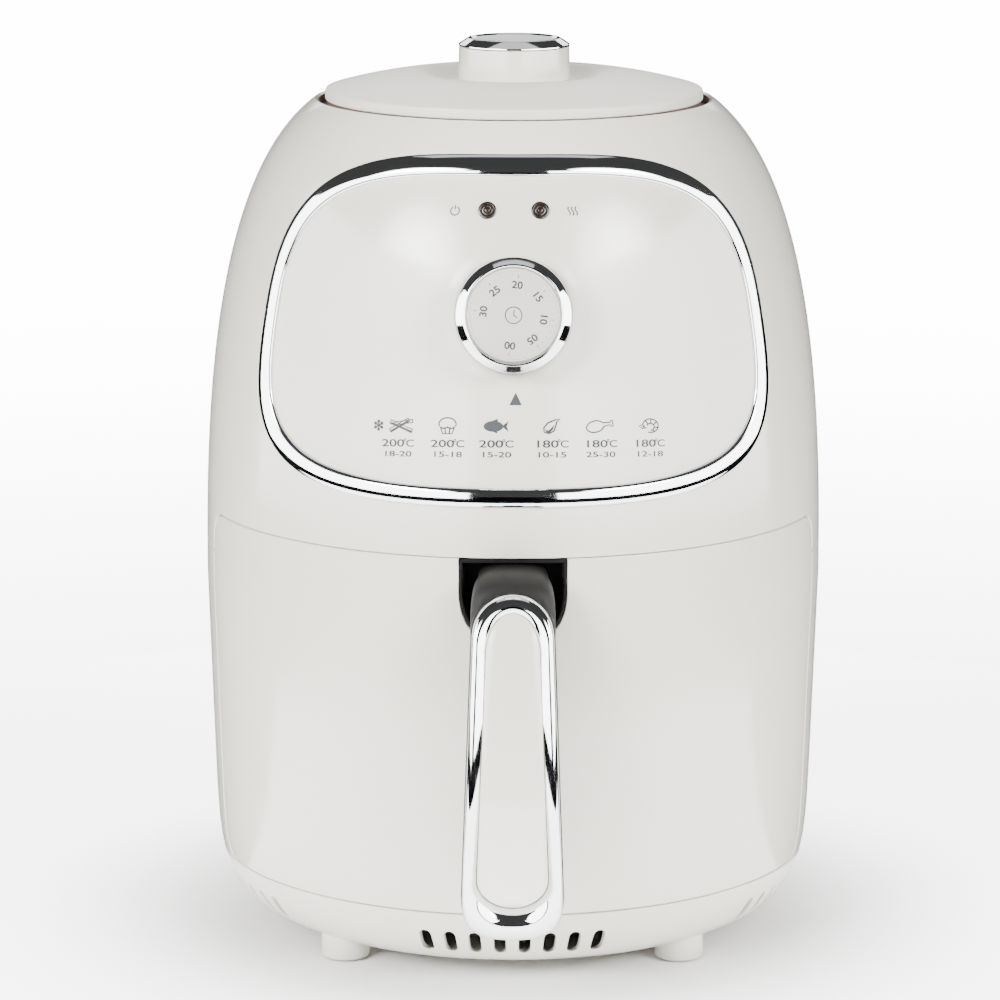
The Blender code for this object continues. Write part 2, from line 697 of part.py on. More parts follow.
def make_handle_socket():
    """Black pocket behind the notch, in which the handle's neck is screwed down."""
    back, front = SOCKET_DEPTH
    socket = prism("handle_socket", notch_outline(GAP), back - front, "black_plastic",
                   location=(0, (front + back) / 2, 0), rotation=FACING_FRONT)
    keep_inside(socket, drawer_depth_tool("socket_reach", 0.0850, 0.1130, 0.1513))
    hollow = front_prism("socket_hollow", notch_outline(0.0015), 0.0200, -0.0935 - 0.0100)
    keep = block("socket_ceiling", (-0.03, -0.12, 0.1501), (0.03, -0.09, 0.16))
    cut(socket, cut(hollow, keep))
    apart, height = SCREW_PLACE
    for side in (-1, 1):
        cut(socket, rod("socket_screw_hole_%+d" % side, 0.0018, -0.01, 0.01, None, 10,
                        location=(side * apart, back - 0.0005, height), rotation=FACING_FRONT))


def drawer_depth_tool(name, inside, low, high):
    """Cutter that fills the body from radius inside out to just under the skin."""
    outer = [(skin_radius(z) - 0.0001, z) for z in heights(high, low, 7)]
    return revolve(name, outer + [(inside, low), (inside, high)])


# ------------------------------------------------------------------ handle
def grip_front(z):
    """Distance of the grip's front face in front of the body axis, at height z."""
    return GRIP_BOW_Y - GRIP_BOW * (z - GRIP_BOW_Z) ** 2


def grip_outline(top=GRIP_TOP, bottom=GRIP_BOTTOM, inset=0.0, per_end=14):
    """Outline of the grip as (x, z): a round arch above, a fuller rounded end below."""
    points = []
    for (half, reach, centre, shape), sign in ((top, 1), (bottom, -1)):
        for i in range(per_end + 1):
            turn = pi * i / per_end
            x = sign * (half - inset) * signed_power(cos(turn), 2 / shape)
            z = centre + sign * (reach - inset) * signed_power(sin(turn), 2 / shape)
            points.append((x, z))
    return points


def grip_slab(name, front, back):
    """Cutter between two depths behind the grip's bowed front face."""
    levels = sorted([GRIP_BOW_Z, *heights(0.0240, 0.1520, 10)])
    outline = [(front - grip_front(z), z) for z in levels]
    outline += [(back - grip_front(z), z) for z in reversed(levels)]
    return prism(name, outline, 0.06, rotation=FACING_SIDE)


def grip_piece(name, look, outline, front, back):
    blank = prism(name, outline, 0.060, look, location=(0, -0.130, 0), rotation=FACING_FRONT)
    return keep_inside(blank, grip_slab(name + "_depth", front, back))


def neck_section(upper, lower, half_width, count=16):
    """Rounded section between an upper and a lower point, each given as (forward, height)."""
    middle = [(a + b) / 2 for a, b in zip(upper, lower)]
    reach = [(a - b) / 2 for a, b in zip(upper, lower)]
    points = []
    for i in range(count):
        turn = tau * i / count
        along = signed_power(sin(turn), 0.62)
        x = half_width * signed_power(cos(turn), 0.62)
        points.append((x, -(middle[0] + reach[0] * along), middle[1] + reach[1] * along))
    return points


# The neck's sections from the socket to the grip: upper point, lower point, half width.
NECK = (
    ((0.0939, 0.1490), (0.0939, 0.1338), 0.0115),
    ((0.1080, 0.1490), (0.1060, 0.1336), 0.0122),
    ((0.1140, 0.1487), (0.1110, 0.1322), 0.0131),
    ((0.1190, 0.1475), (0.1146, 0.1298), 0.0136),
    ((0.1225, 0.1450), (0.1172, 0.1268), 0.0139),
    ((0.1252, 0.1395), (0.1192, 0.1235), 0.0140),
    ((0.1279, 0.1315), (0.1212, 0.1190), 0.0138),
    ((0.1292, 0.1240), (0.1240, 0.1140), 0.0130),
)


def make_handle_front():
    """Chrome frame of the grip and the white insert in its window."""
    frame = grip_piece("handle_frame", "chrome", grip_outline(), 0, GRIP_FRAME_DEPTH)
    window = grip_outline(WINDOW_TOP, WINDOW_BOTTOM)
    cut(frame, front_prism("frame_window", window, 0.070, -0.130))
    insert = grip_outline(WINDOW_TOP, WINDOW_BOTTOM, GAP)
    grip_piece("handle_insert", "white_gloss", insert, *GRIP_INSERT_DEPTH)


def make_handle_body():
    """Rear shell of the grip in one piece with its neck, and the neck's two screws."""
    body = grip_piece("handle_body", "grey_plastic", grip_outline(inset=-0.0005), GRIP_FRAME_DEPTH + GAP,
                      GRIP_DEPTH)
    join(body, loft("handle_neck", [neck_section(*row) for row in NECK], None))
    apart, height = SCREW_PLACE
    screw = [(0, 0.0095), (0.0015, 0.0095), (0.0015, -GAP), (0.0029, -GAP), (0.0026, -0.0018),
             (0, -0.0018)]
    for name, side in (("left", -1), ("right", 1)):
        place_of_screw = {"location": (side * apart, SOCKET_DEPTH[0], height), "rotation": FACING_FRONT}
        cut(body, rod("neck_pilot_" + name, 0.0018, 0, 0.0110, None, 10, **place_of_screw))
        revolve("handle_screw_" + name, screw, "steel", closed=False, segments=16, **place_of_screw)


# -------------------------------------------------------------- crisper plate
def make_crisper_plate():
    high = PLATE_Z + 0.0012
    plate = revolve("crisper_plate", [(0, high), (PLATE_RADIUS, high), (PLATE_RADIUS, PLATE_Z), (0, PLATE_Z)],
                    "nonstick", closed=False)
    slot = prism("inner_slots", stadium(0.018, 0.0050), 0.02, location=(0, 0.027, PLATE_Z))
    outer = prism("outer_slots", stadium(0.020, 0.0050), 0.02, location=(0, 0.055, PLATE_Z))
    cut(plate, repeat_round(slot, range(0, 360, 60)), repeat_round(outer, range(15, 360, 30)))
    for i, name in enumerate(("front_left", "front_right", "rear_right", "rear_left")):
        turn = radians(225 + 90 * i)
        at = (0.0760 * cos(turn), 0.0760 * sin(turn), 0)
        bumper = block("bumper_" + name, (-0.0062, -0.0030, PLATE_Z - 0.0026),
                       (0.0026, 0.0030, PLATE_Z + 0.0036), "silicone", location=at, rotation=(0, 0, turn))
        cut(bumper, block("bumper_groove_" + name, (-0.008, -0.004, PLATE_Z - GAP),
                          (-0.0001, 0.004, high + GAP), location=at, rotation=(0, 0, turn)))


# ----------------------------------------------------------------- chamber
def liner_outline(front_y):
    """Floor outline of the cooking chamber: straight sides and a round back."""
    points = [(LINER_HALF_WIDTH, front_y)]
    points += [(LINER_HALF_WIDTH * cos(pi * i / 20), LINER_HALF_WIDTH * sin(pi * i / 20)) for i in range(21)]
    return points + [(-LINER_HALF_WIDTH, front_y)]


def make_chamber_liner():
    low, high = LINER_Z
    outline = liner_outline(LINER_FRONT_Y)
    bm = bmesh.new()
    floor = [bm.verts.new((x, y, low)) for x, y in outline]
    rim = [bm.verts.new((x, y, high)) for x, y in outline]
    bm.faces.new(floor[::-1])
    for i in range(len(outline) - 1):
        bm.faces.new((floor[i], floor[i + 1], rim[i + 1], rim[i]))
    liner = from_bmesh("chamber_liner", bm, "aluminium")
    solidify(liner, LINER_WALL, inward=False)


def make_rails():
    top = PAN_Z[1] - 0.0012 - GAP
    for name, side in (("left_rail", -1), ("right_rail", 1)):
        near, far = sorted((side * 0.0812, side * (LINER_HALF_WIDTH - GAP)))
        block(name, (near, LINER_FRONT_Y, top - 0.0045), (far, 0, top), "steel", 0.0005)


def make_air_reflector():
    low, high = REFLECTOR_Z
    profile = [
        (0.0065, high), (0.0700, high), (0.0790, high - 0.0060), (0.0866, low + 0.0010),
        (0.0960, low + 0.0010), (0.0960, low), (0.0858, low), (0.0780, high - 0.0066),
        (0.0696, high - 0.0010), (0.0065, high - 0.0010),
    ]
    reflector = revolve("air_reflector", profile, "aluminium", segments=28)
    for i, turn in enumerate(HEATER_TURNS):
        x, y = heater_point(turn)[:2]
        cut(reflector, rod("terminal_hole_%d" % i, 0.0038, 0.18, 0.21, None, 10, location=(x, y, 0)))


def make_heat_shield():
    low = REFLECTOR_Z[0] + 0.0010 + GAP
    profile = [(0.0065, 0.2005), (0.0930, 0.2005), (0.0950, 0.1985), (0.0950, low), (0.0942, low),
               (0.0942, 0.1981), (0.0926, 0.1997), (0.0065, 0.1997)]
    shield = revolve("heat_shield", profile, "steel", segments=28)
    for i, turn in enumerate(HEATER_TURNS):
        x, y = heater_point(turn)[:2]
        cut(shield, rod("shield_hole_%d" % i, 0.0045, 0.19, 0.21, None, 10, location=(x, y, 0)))


HEATER_TURNS = (95.0, 805.0)        # angles of its outer and its inner end
HEATER_RADII = (0.0640, 0.0460)
HEATER_Z = 0.1680


def heater_point(turn):
    """A point of the heater's spiral, two turns from its outer end to its inner end."""
    start, end = HEATER_TURNS
    outer, inner = HEATER_RADII
    radius = outer + (inner - outer) * (turn - start) / (end - start)
    return radius * cos(radians(turn)), radius * sin(radians(turn)), HEATER_Z


def make_heater():
    start, end = HEATER_TURNS
    spiral = [heater_point(start + (end - start) * i / 36) for i in range(37)]
    first, last = spiral[0], spiral[-1]
    leg, top = HEATER_Z + 0.0020, 0.2060
    path = [(*first[:2], top), (*first[:2], leg), *spiral, (*last[:2], leg), (*last[:2], top)]
    tube("heater_element", path, 0.0030, "heater")


GUARD_Z = 0.1500
GUARD_WIRE = 0.0020


def guard_hoop(name, radius, look=None):
    inner = radius - GUARD_WIRE
    high = GUARD_Z + GUARD_WIRE
    return revolve(name, [(inner, high), (inner, GUARD_Z), (radius, GUARD_Z), (radius, high)], look,
                   segments=24)


def make_heater_guard():
    """Two hoops on a cross of bars, below the heater."""
    guard = guard_hoop("heater_guard", 0.0800, "steel")
    join(guard, guard_hoop("inner_hoop", 0.0400))
    for i in range(2):
        bar = block("guard_bar_%d" % i, (-0.0795, -0.0010, GUARD_Z + 0.0003),
                    (0.0795, 0.0010, GUARD_Z + GUARD_WIRE - 0.0003), rotation=(0, 0, radians(90 * i)))
        join(guard, bar)


# --------------------------------------------------------------------- fan
def make_impeller():
    low = IMPELLER_Z
    top, high = low + 0.0008, low + 0.0112
    profile = [(0.0029, high), (0.0050, high), (0.0050, top), (0.0400, top), (0.0400, low), (0.0029, low)]
    disc = revolve("hot_air_impeller", profile, "steel", segments=16)
    blade = block("impeller_blades", (0.014, -0.0005, low + 0.0002), (0.0500, 0.0005, low + 0.0100))
    join(disc, repeat_round(blade, [i * 45 for i in range(8)]))


def make_cooling_fan():
    hub = revolve("cooling_fan", [(0.0029, 0.2150), (0.0090, 0.2150), (0.0090, 0.2060), (0.0029, 0.2060)],
                  "black_plastic", segments=20)
    blade = block("cooling_blades", (0.0080, -0.0085, -0.0005), (0.0420, 0.0085, 0.0005),
                  rotation=(radians(24), 0, 0), location=(0, 0, 0.2105))
    join(hub, repeat_round(blade, [i * 60 for i in range(6)]))


def make_motor():
    low, high = MOTOR_Z
    rotor = [(0, 0.2545), (0.0025, 0.2545), (0.0025, high - 0.0010), (0.0135, high - 0.0010),
             (0.0135, low + 0.0010), (0.0025, low + 0.0010), (0.0025, 0.1712), (0, 0.1712)]
    revolve("motor_rotor", rotor, "steel", closed=False, segments=20)
    nut = [(0.0028, 0.1776), (0.0052, 0.1776), (0.0052, 0.1740), (0.0040, 0.1705), (0.0028, 0.1705)]
    revolve("impeller_nut", nut, "steel", segments=12)
    core = block("motor_core", (-0.0240, -0.0240, low), (0.0400, 0.0240, high), "steel")
    window = block("coil_window", (0.0182, -0.0160, low - 0.002), (0.0300, 0.0160, high + 0.002))
    cut(core, rod("rotor_bore", 0.0140, low - 0.002, high + 0.002, None, 24), window)
    coil = block("motor_coil", (0.0186, -0.0155, low - 0.0080), (0.0505, 0.0155, high + 0.0080), "copper",
                 0.002)
    cut(coil, block("coil_leg", (0.0297, -0.02, low - GAP), (0.0403, 0.02, high + GAP)))
    make_bearing_bridge("lower_bearing_bridge", low - GAP, 0.2210)
    make_bearing_bridge("upper_bearing_bridge", high + GAP, 0.2490)


def make_bearing_bridge(name, near, far):
    """U-shaped strap across the motor core, with the shaft's bearing in its middle."""
    low, high = sorted((near, far))
    strap = block(name, (-0.006, -0.022, low), (0.006, 0.022, high), "steel")
    inner = 0.0015 if far < near else -0.0015
    hollow_low, hollow_high = sorted((far + inner, near - inner * 2))
    cut(strap, block(name + "_hollow", (-0.01, -0.0195, hollow_low), (0.01, 0.0195, hollow_high)),
        rod(name + "_bore", 0.0029, low - 0.002, high + 0.002))


def make_motor_bracket():
    """Bridge over the cooling fan that carries the motor on the heat shield."""
    bracket = block("motor_bracket", (-0.0090, -0.0560, 0.2008), (0.0090, 0.0560, 0.2205), "steel")
    cut(bracket, block("bracket_hollow", (-0.02, -0.0545, 0.19), (0.02, 0.0545, 0.2190)),
        rod("bracket_bore", 0.0040, 0.21, 0.23))


def make_door_switch():
    block("door_switch", (0.0890, -0.0180, 0.0950), (0.0990, 0.0010, 0.1130), "black_plastic", 0.0008)


def main():
    make_upper_housing()
    make_lower_housing()
    make_base_plate()
    make_feet()
    make_outlet_grille()
    make_cord_gland()
    make_control_panel()
    make_trim_ring()
    make_lenses()
    make_timer()
    make_top_cover()
    make_temperature_knob()
    make_thermostat()
    make_drawer_front()
    make_drawer_inner_panel()
    make_pan()
    make_pan_bracket()
    make_handle_socket()
    make_handle_front()
    make_handle_body()
    make_crisper_plate()
    make_chamber_liner()
    make_rails()
    make_air_reflector()
    make_heat_shield()
    make_heater()
    make_heater_guard()
    make_impeller()
    make_cooling_fan()
    make_motor()
    make_motor_bracket()
    make_door_switch()


main()
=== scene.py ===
from math import cos, hypot, pi, radians, sin, sqrt, tan, tau

import bmesh
import bpy
import numpy as np
from mathutils import Matrix, Vector


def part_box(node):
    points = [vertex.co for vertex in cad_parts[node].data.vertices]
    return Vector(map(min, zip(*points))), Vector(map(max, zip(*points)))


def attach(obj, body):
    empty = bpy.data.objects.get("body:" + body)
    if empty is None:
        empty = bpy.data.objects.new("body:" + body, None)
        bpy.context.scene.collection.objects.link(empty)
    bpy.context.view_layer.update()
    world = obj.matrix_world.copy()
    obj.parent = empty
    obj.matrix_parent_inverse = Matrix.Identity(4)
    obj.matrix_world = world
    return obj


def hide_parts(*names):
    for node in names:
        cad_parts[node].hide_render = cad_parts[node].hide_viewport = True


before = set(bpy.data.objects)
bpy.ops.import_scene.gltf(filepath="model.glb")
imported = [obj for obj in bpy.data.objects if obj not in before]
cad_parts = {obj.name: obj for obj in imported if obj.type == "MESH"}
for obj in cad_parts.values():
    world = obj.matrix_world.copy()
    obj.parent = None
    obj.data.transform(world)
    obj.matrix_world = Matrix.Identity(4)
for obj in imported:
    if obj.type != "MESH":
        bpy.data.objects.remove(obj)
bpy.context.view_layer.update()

# Looks of a compact hot-air fryer. The CAD parts of model.glb give the body axis and every node's
# box;
# the outer skins are built again here from the same design laws, finer.
# Lengths are in metres. Shapes are made about the body axis, with the front at -Y.


# ------------------------------------------------------- sizes from the CAD parts
def node_box(node):
    """Lowest and highest corner of a node, measured from the body axis."""
    low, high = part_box(node)
    shift = Vector((0, AXIS_Y, 0))
    return Vector(low) - shift, Vector(high) - shift


AXIS_Y = sum(corner[1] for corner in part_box("pan")) / 2
SPLIT_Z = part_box("upper_housing")[0][2]
BASE_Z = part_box("lower_housing")[0][2]
WAIST_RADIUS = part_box("lower_housing")[1][0]
GRIP_FRONT_Y = AXIS_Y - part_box("handle_frame")[0][1]
TOP_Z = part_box("temperature_knob_cap")[1][2]
LID_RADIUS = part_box("top_cover")[1][0]
KNOB_LOW, KNOB_HIGH = (corner[2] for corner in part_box("temperature_knob"))
KNOB_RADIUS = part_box("temperature_knob")[1][0]
PAN_LOW, PAN_HIGH = (corner[2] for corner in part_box("pan"))
PLATE_LOW, PLATE_HIGH = (corner[2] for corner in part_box("crisper_plate"))
PLATE_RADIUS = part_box("crisper_plate")[1][0]

# ------------------------------------------------------- laws of the body skin
WAIST_Z = 0.1257
DOME_RISE = 0.17775
DOME_SHAPE = (2.49, 4.15)
TUCK_DROP = 0.12514
TUCK_SHAPE = (12.0, 3.87)
TUCK_TAPER = 0.0041
WALL = 0.0024
DOME_TOP_Z = 0.2905
LID_OPENING_R = 0.0675
LEDGE_R = 0.0560
LEDGE_Z = 0.2882
AROUND = 288

OUTLET_CUT = (18.2, 0.1878, 0.2322)         # half angle, lower and upper edge
OUTLET_HALF_ANGLE = 18.0
OUTLET_CORNER = 0.004
OUTLET_SLOTS = [0.1950 + i * 0.0075 for i in range(5)]
VENT_SIZE = (0.0085, 0.0039)
VENT_Z = 0.01675
CORD_Z = 0.036
DRAWER_HALF_ANGLE = 74.5
DRAWER_Z = (0.0279, 0.1516)
DRAWER_CORNER = 0.010
NOTCH_HALF_WIDTH = 0.01785
NOTCH_Z = 0.1228
NOTCH_DEPTH = 0.0200
NOTCH_SHAPE = 0.75
NOTCH_OVERRUN = 0.004                       # how far its cutter passes the drawer's top
PANEL_Z = 0.2252
PANEL_SEAM = (53.6, 0.0533)                 # half angle and half height
PANEL_GAP = (0.15, 0.00015)                 # on each side of the seam, in the same units
PANEL_SHAPE = (3.3, 3.7)                    # roundness of the upper and of the lower half
PANEL_THICKNESS = 0.0023
TRIM_OUTER = (55.4, 0.0566)
TRIM_INNER = (51.8, 0.0500)
TRIM_HEIGHT = 0.0019
TRIM_EDGE = 0.00012
TRIM_SHAPE = 2.4
LENS_ANGLE = 5.6
LENS_Z = 0.2647
GRIP_BOW_Z = 0.0769
GRIP_BOW = 3.187
# half width, reach, height of the centre and roundness of the grip's and its window's ends
GRIP_TOP = (0.0135, 0.0147, 0.1295, 2.15)
GRIP_BOTTOM = (0.0166, 0.0146, 0.0440, 2.7)
WINDOW_TOP = (0.0090, 0.0130, 0.1258, 2.0)
WINDOW_BOTTOM = (0.0119, 0.0115, 0.0518, 2.1)


def skin_radius(z):
    """Outer radius of the body at height z, which may be an array."""
    z = np.asarray(z, dtype=float)
    rise = np.clip((z - WAIST_Z) / DOME_RISE, 0, 1)
    drop = np.clip((WAIST_Z - z) / TUCK_DROP, 0, 1)
    dome = WAIST_RADIUS * (1 - rise ** DOME_SHAPE[0]) ** (1 / DOME_SHAPE[1])
    tuck = (WAIST_RADIUS - TUCK_TAPER * drop) * (1 - drop ** TUCK_SHAPE[0]) ** (1 / TUCK_SHAPE[1])
    return np.where(z > WAIST_Z, dome, tuck)


def skin_lean(z):
    """Angle by which the skin at height z faces upwards."""
    step = 0.00005
    return np.arctan((skin_radius(z - step) - skin_radius(z + step)) / (2 * step))


def skin_point(angle, z, out=0.0):
    """Point at an angle (radians, from the front) and height, moved out along the skin's normal."""
    lean = float(skin_lean(z))
    radius = float(skin_radius(z)) + out * cos(lean)
    return Vector((radius * sin(angle), -radius * cos(angle), z + out * sin(lean)))


def skin_frame(angle, z):
    """Matrix whose Z axis leaves the skin and whose Y axis runs up it."""
    lean = float(skin_lean(z))
    turned = Matrix.Rotation(angle, 4, 'Z') @ Matrix.Rotation(pi / 2 - lean, 4, 'X')
    return Matrix.Translation(skin_point(angle, z)) @ turned


def signed_power(value, power):
    return abs(value) ** power * (1 if value >= 0 else -1)


def spread(start, end, count, crowd=1.0):
    """Numbers from start to end, closer together near the end when crowd is above 1."""
    return [end + (start - end) * (1 - i / (count - 1)) ** crowd for i in range(count)]


# ------------------------------------------------------------------- camera
CAMERA_LENS = 167.7
CAMERA_SHIFT = -0.0152
CAMERA_DISTANCE = 1.606         # from the body axis
CAMERA_Z = 0.481
CAMERA_TILT = (78.33, -0.12)    # about X and about Y


def make_camera():
    data = bpy.data.cameras.new("camera")
    data.lens = CAMERA_LENS
    data.sensor_width = 36.0
    data.shift_x = CAMERA_SHIFT
    camera = bpy.data.objects.new("camera", data)
    camera.location = (0, AXIS_Y - CAMERA_DISTANCE, CAMERA_Z)
    camera.rotation_euler = (*map(radians, CAMERA_TILT), 0)
    bpy.context.scene.collection.objects.link(camera)
    bpy.context.scene.camera = camera


make_camera()


# ------------------------------------------------------------- mesh helpers
SHARP_ANGLE = 32
SKIN_ANGLE = 14             # a face that lies on the skin differs from it by less than this
SKIN_REACH = 0.0005
MERGE_REACH = 0.0000005
SLIVER_REACH = 0.0000002


def mesh_from(name, bm):
    """Mesh with what a bmesh holds; the bmesh is freed."""
    mesh = bpy.data.meshes.new(name)
    bm.to_mesh(mesh)
    bm.free()
    return mesh


def new_object(name, mesh, matrix=None):
    """Object for a mesh that is made about the body axis."""
    obj = bpy.data.objects.new(name, mesh)
    obj.matrix_world = Matrix.Translation((0, AXIS_Y, 0)) @ (matrix or Matrix.Identity(4))
    bpy.context.scene.collection.objects.link(obj)
    return obj


def smooth(mesh):
    mesh.shade_smooth()
    mesh.set_sharp_from_angle(angle=radians(SHARP_ANGLE))


def lofted(name, rings, ring_closed=True, joined=False, caps=True, matrix=None):
    """Skin over rings of equal count; joined links the last ring to the first."""
    bm = bmesh.new()
    verts = [[bm.verts.new(point) for point in ring] for ring in rings]
    count = len(verts[0])
    pairs = list(zip(verts, verts[1:]))
    if joined:
        pairs.append((verts[-1], verts[0]))
    for near, far in pairs:
        for i in range(count if ring_closed else count - 1):
            j = (i + 1) % count
            bm.faces.new((near[i], near[j], far[j], far[i]))
    if caps and ring_closed and not joined:
        bm.faces.new(verts[0][::-1])
        bm.faces.new(verts[-1])
    bmesh.ops.remove_doubles(bm, verts=bm.verts, dist=MERGE_REACH)
    bmesh.ops.dissolve_degenerate(bm, edges=bm.edges, dist=SLIVER_REACH)
    bmesh.ops.recalc_face_normals(bm, faces=bm.faces)
    mesh = mesh_from(name, bm)
    smooth(mesh)
    return new_object(name, mesh, matrix)


def rounded(points, closed=True, steps=5):
    """Profile in which each corner given as (radius, height, fillet) becomes an arc."""
    result = []
    for i, point in enumerate(points):
        corner = Vector(point[:2])
        inner_end = not closed and i in (0, len(points) - 1)
        if len(point) < 3 or inner_end:
            result.append(corner)
            continue
        before = (Vector(points[i - 1][:2]) - corner).normalized()
        after = (Vector(points[(i + 1) % len(points)][:2]) - corner).normalized()
        half = before.angle(after) / 2
        centre = corner + (before + after).normalized() * point[2] / sin(half)
        start = corner + before * point[2] / tan(half) - centre
        end = corner + after * point[2] / tan(half) - centre
        total = start.angle(end)
        for k in range(steps + 1):
            share = k / steps
            arm = start * sin((1 - share) * total) + end * sin(share * total)
            result.append(centre + arm / sin(total))
    return result


def turned(name, points, closed=True, segments=AROUND, matrix=None, steps=5):
    """Solid turned about Z from a profile, which either closes on itself or ends on the axis."""
    rings = []
    for radius, z in rounded(points, closed, steps):
        turns = [tau * i / segments for i in range(segments)]
        rings.append([(radius * sin(turn), -radius * cos(turn), z) for turn in turns])
    return lofted(name, rings, joined=closed, caps=False, matrix=matrix)


def baked(obj):
    """Replace an object's mesh by what its modifiers make of it."""
    depsgraph = bpy.context.evaluated_depsgraph_get()
    mesh = bpy.data.meshes.new_from_object(obj.evaluated_get(depsgraph))
    old = obj.data
    obj.modifiers.clear()
    obj.data = mesh
    bpy.data.meshes.remove(old)
    return obj


def drill(name, radius, high, low, matrix):
    """Round cutter between two heights."""
    return turned(name, [(0, high), (radius, high), (radius, low), (0, low)], False, 48, matrix)


def carve(obj, tool):
    """Cut a tool out of an object, then drop the tool."""
    modifier = obj.modifiers.new("carve", 'BOOLEAN')
    modifier.operation = 'DIFFERENCE'
    modifier.solver = 'EXACT'
    modifier.object = tool
    baked(obj)
    bpy.data.objects.remove(tool, do_unlink=True)
    smooth(obj.data)
    return obj


def follow_skin(obj):
    """Give faces that lie on the body skin the exact normals of that skin."""
    mesh = obj.data
    count = len(mesh.loops)
    normals = np.zeros(count * 3)
    mesh.corner_normals.foreach_get("vector", normals)
    normals = normals.reshape(-1, 3)
    owner = np.zeros(count, dtype=int)
    mesh.loops.foreach_get("vertex_index", owner)
    places = np.zeros(len(mesh.vertices) * 3)
    mesh.vertices.foreach_get("co", places)
    places = places.reshape(-1, 3)[owner]
    facing = np.zeros(len(mesh.polygons) * 3)
    mesh.polygons.foreach_get("normal", facing)
    sizes = np.zeros(len(mesh.polygons), dtype=int)
    mesh.polygons.foreach_get("loop_total", sizes)
    facing = np.repeat(facing.reshape(-1, 3), sizes, axis=0)
    radius = np.hypot(places[:, 0], places[:, 1])
    lean = skin_lean(places[:, 2])
    flat = places[:, :2] / np.maximum(radius, 0.001)[:, None] * np.cos(lean)[:, None]
    exact = np.column_stack((flat, np.sin(lean)))
    on_skin = np.abs(radius - skin_radius(places[:, 2])) < SKIN_REACH
    matches = on_skin & (np.sum(exact * facing, axis=1) > cos(radians(SKIN_ANGLE)))
    normals[matches] = exact[matches]
    mesh.normals_split_custom_set(normals)
    return obj


def joined_objects(name, objects):
    """One object from several, in world space."""
    bm = bmesh.new()
    for obj in objects:
        part = obj.data
        part.transform(obj.matrix_world)
        bm.from_mesh(part)
    mesh = mesh_from(name, bm)
    for obj in objects:
        bpy.data.objects.remove(obj, do_unlink=True)
    mesh.transform(Matrix.Translation((0, -AXIS_Y, 0)))
    return new_object(name, mesh)


# ------------------------------------------------------------ skin patches
EDGE_FLARE = ((0.0013, 0.0040), (0.0013, 0.0005), (0.00037, 0.0), (0.00025, -0.00007),
              (0.00007, -0.00025), (0.0, -0.0005))


def fillet_levels(radius, depth, steps=6):
    """(spread, offset) levels of an outer face with a rounded edge, then a straight side."""
    levels = []
    for i in range(steps + 1):
        turn = pi / 2 * i / steps
        levels.append((-radius * (1 - sin(turn)), -radius * (1 - cos(turn))))
    return levels + [(0.0, -depth)]


def patch_grid(half_angle, low, high, corner, wider, columns, rows, turn):
    """Rows of (angle, height) that fill a rounded rectangle on the skin, widened all round."""
    half = radians(half_angle) + wider / WAIST_RADIUS
    round_by = max(corner + wider, 0.0001)
    corner_angle = round_by / WAIST_RADIUS
    steps = 10
    edge = [half - corner_angle * (1 - sin(pi / 2 * i / steps)) for i in range(steps + 1)]
    inner = [half - corner_angle] + [(half - corner_angle) * i / columns for i in range(columns)]
    angles = sorted({sign * angle for angle in edge + inner for sign in (-1, 1)})
    grid = []
    for angle in angles:
        past = min(1.0, max(0.0, (abs(angle) - half + corner_angle) / corner_angle))
        pull = round_by * (1 - sqrt(1 - past * past))
        bottom, top = low - wider + pull, high + wider - pull
        grid.append([(angle + turn, bottom + (top - bottom) * i / rows) for i in range(rows + 1)])
    return grid


def skin_patch(name, half_angle, low, high, corner, levels, columns=60, rows=56, turn=0.0):
    """Piece of wall on the skin; each level widens its outline and moves it in or out."""
    bm = bmesh.new()
    rims = []
    for number, (wider, offset) in enumerate(levels):
        grid = patch_grid(half_angle, low, high, corner, wider, columns, rows, turn)
        wide, tall = len(grid), rows + 1
        places = [(i, 0) for i in range(wide)] + [(wide - 1, j) for j in range(1, tall)]
        places += [(i, tall - 1) for i in range(wide - 2, -1, -1)]
        places += [(0, j) for j in range(tall - 2, 0, -1)]
        keep_all = number in (0, len(levels) - 1)
        wanted = [(i, j) for i in range(wide) for j in range(tall)] if keep_all else places
        verts = {}
        for i, j in wanted:
            angle, z = grid[i][j]
            radius = float(skin_radius(z)) + offset
            verts[i, j] = bm.verts.new((radius * sin(angle), -radius * cos(angle), z))
        if keep_all:
            for i in range(wide - 1):
                for j in range(tall - 1):
                    corners = ((i, j), (i + 1, j), (i + 1, j + 1), (i, j + 1))
                    bm.faces.new([verts[corner] for corner in corners])
        rims.append([verts[place] for place in places])
    for near, far in zip(rims, rims[1:]):
        for i in range(len(near)):
            j = (i + 1) % len(near)
            bm.faces.new((near[i], near[j], far[j], far[i]))
    bmesh.ops.recalc_face_normals(bm, faces=bm.faces)
    mesh = mesh_from(name, bm)
    smooth(mesh)
    return new_object(name, mesh)


def plug(name, outline, levels, turn=0.0):
    """Cutter from an (x, z) outline that widens where it leaves the skin at angle turn."""
    rings = []
    for wider, offset in levels:
        ring = []
        for x, z in outline(wider):
            radius = float(skin_radius(z))
            ring.append((x, -sqrt(radius * radius - x * x) - offset, z))
        rings.append(ring)
    return lofted(name, rings, matrix=Matrix.Rotation(turn, 4, 'Z'))


def stadium(length, width, middle, per_end=12):
    """Function that gives the (x, z) outline of an upright slot with round ends."""
    def outline(wider):
        radius = width / 2 + wider
        points = []
        for i in range(2 * per_end + 2):
            end = 1 if i <= per_end else -1
            turn = pi * (i - (end < 0)) / per_end
            points.append((radius * cos(turn),
                           middle + end * (length - width) / 2 + radius * sin(turn)))
        return points
    return outline


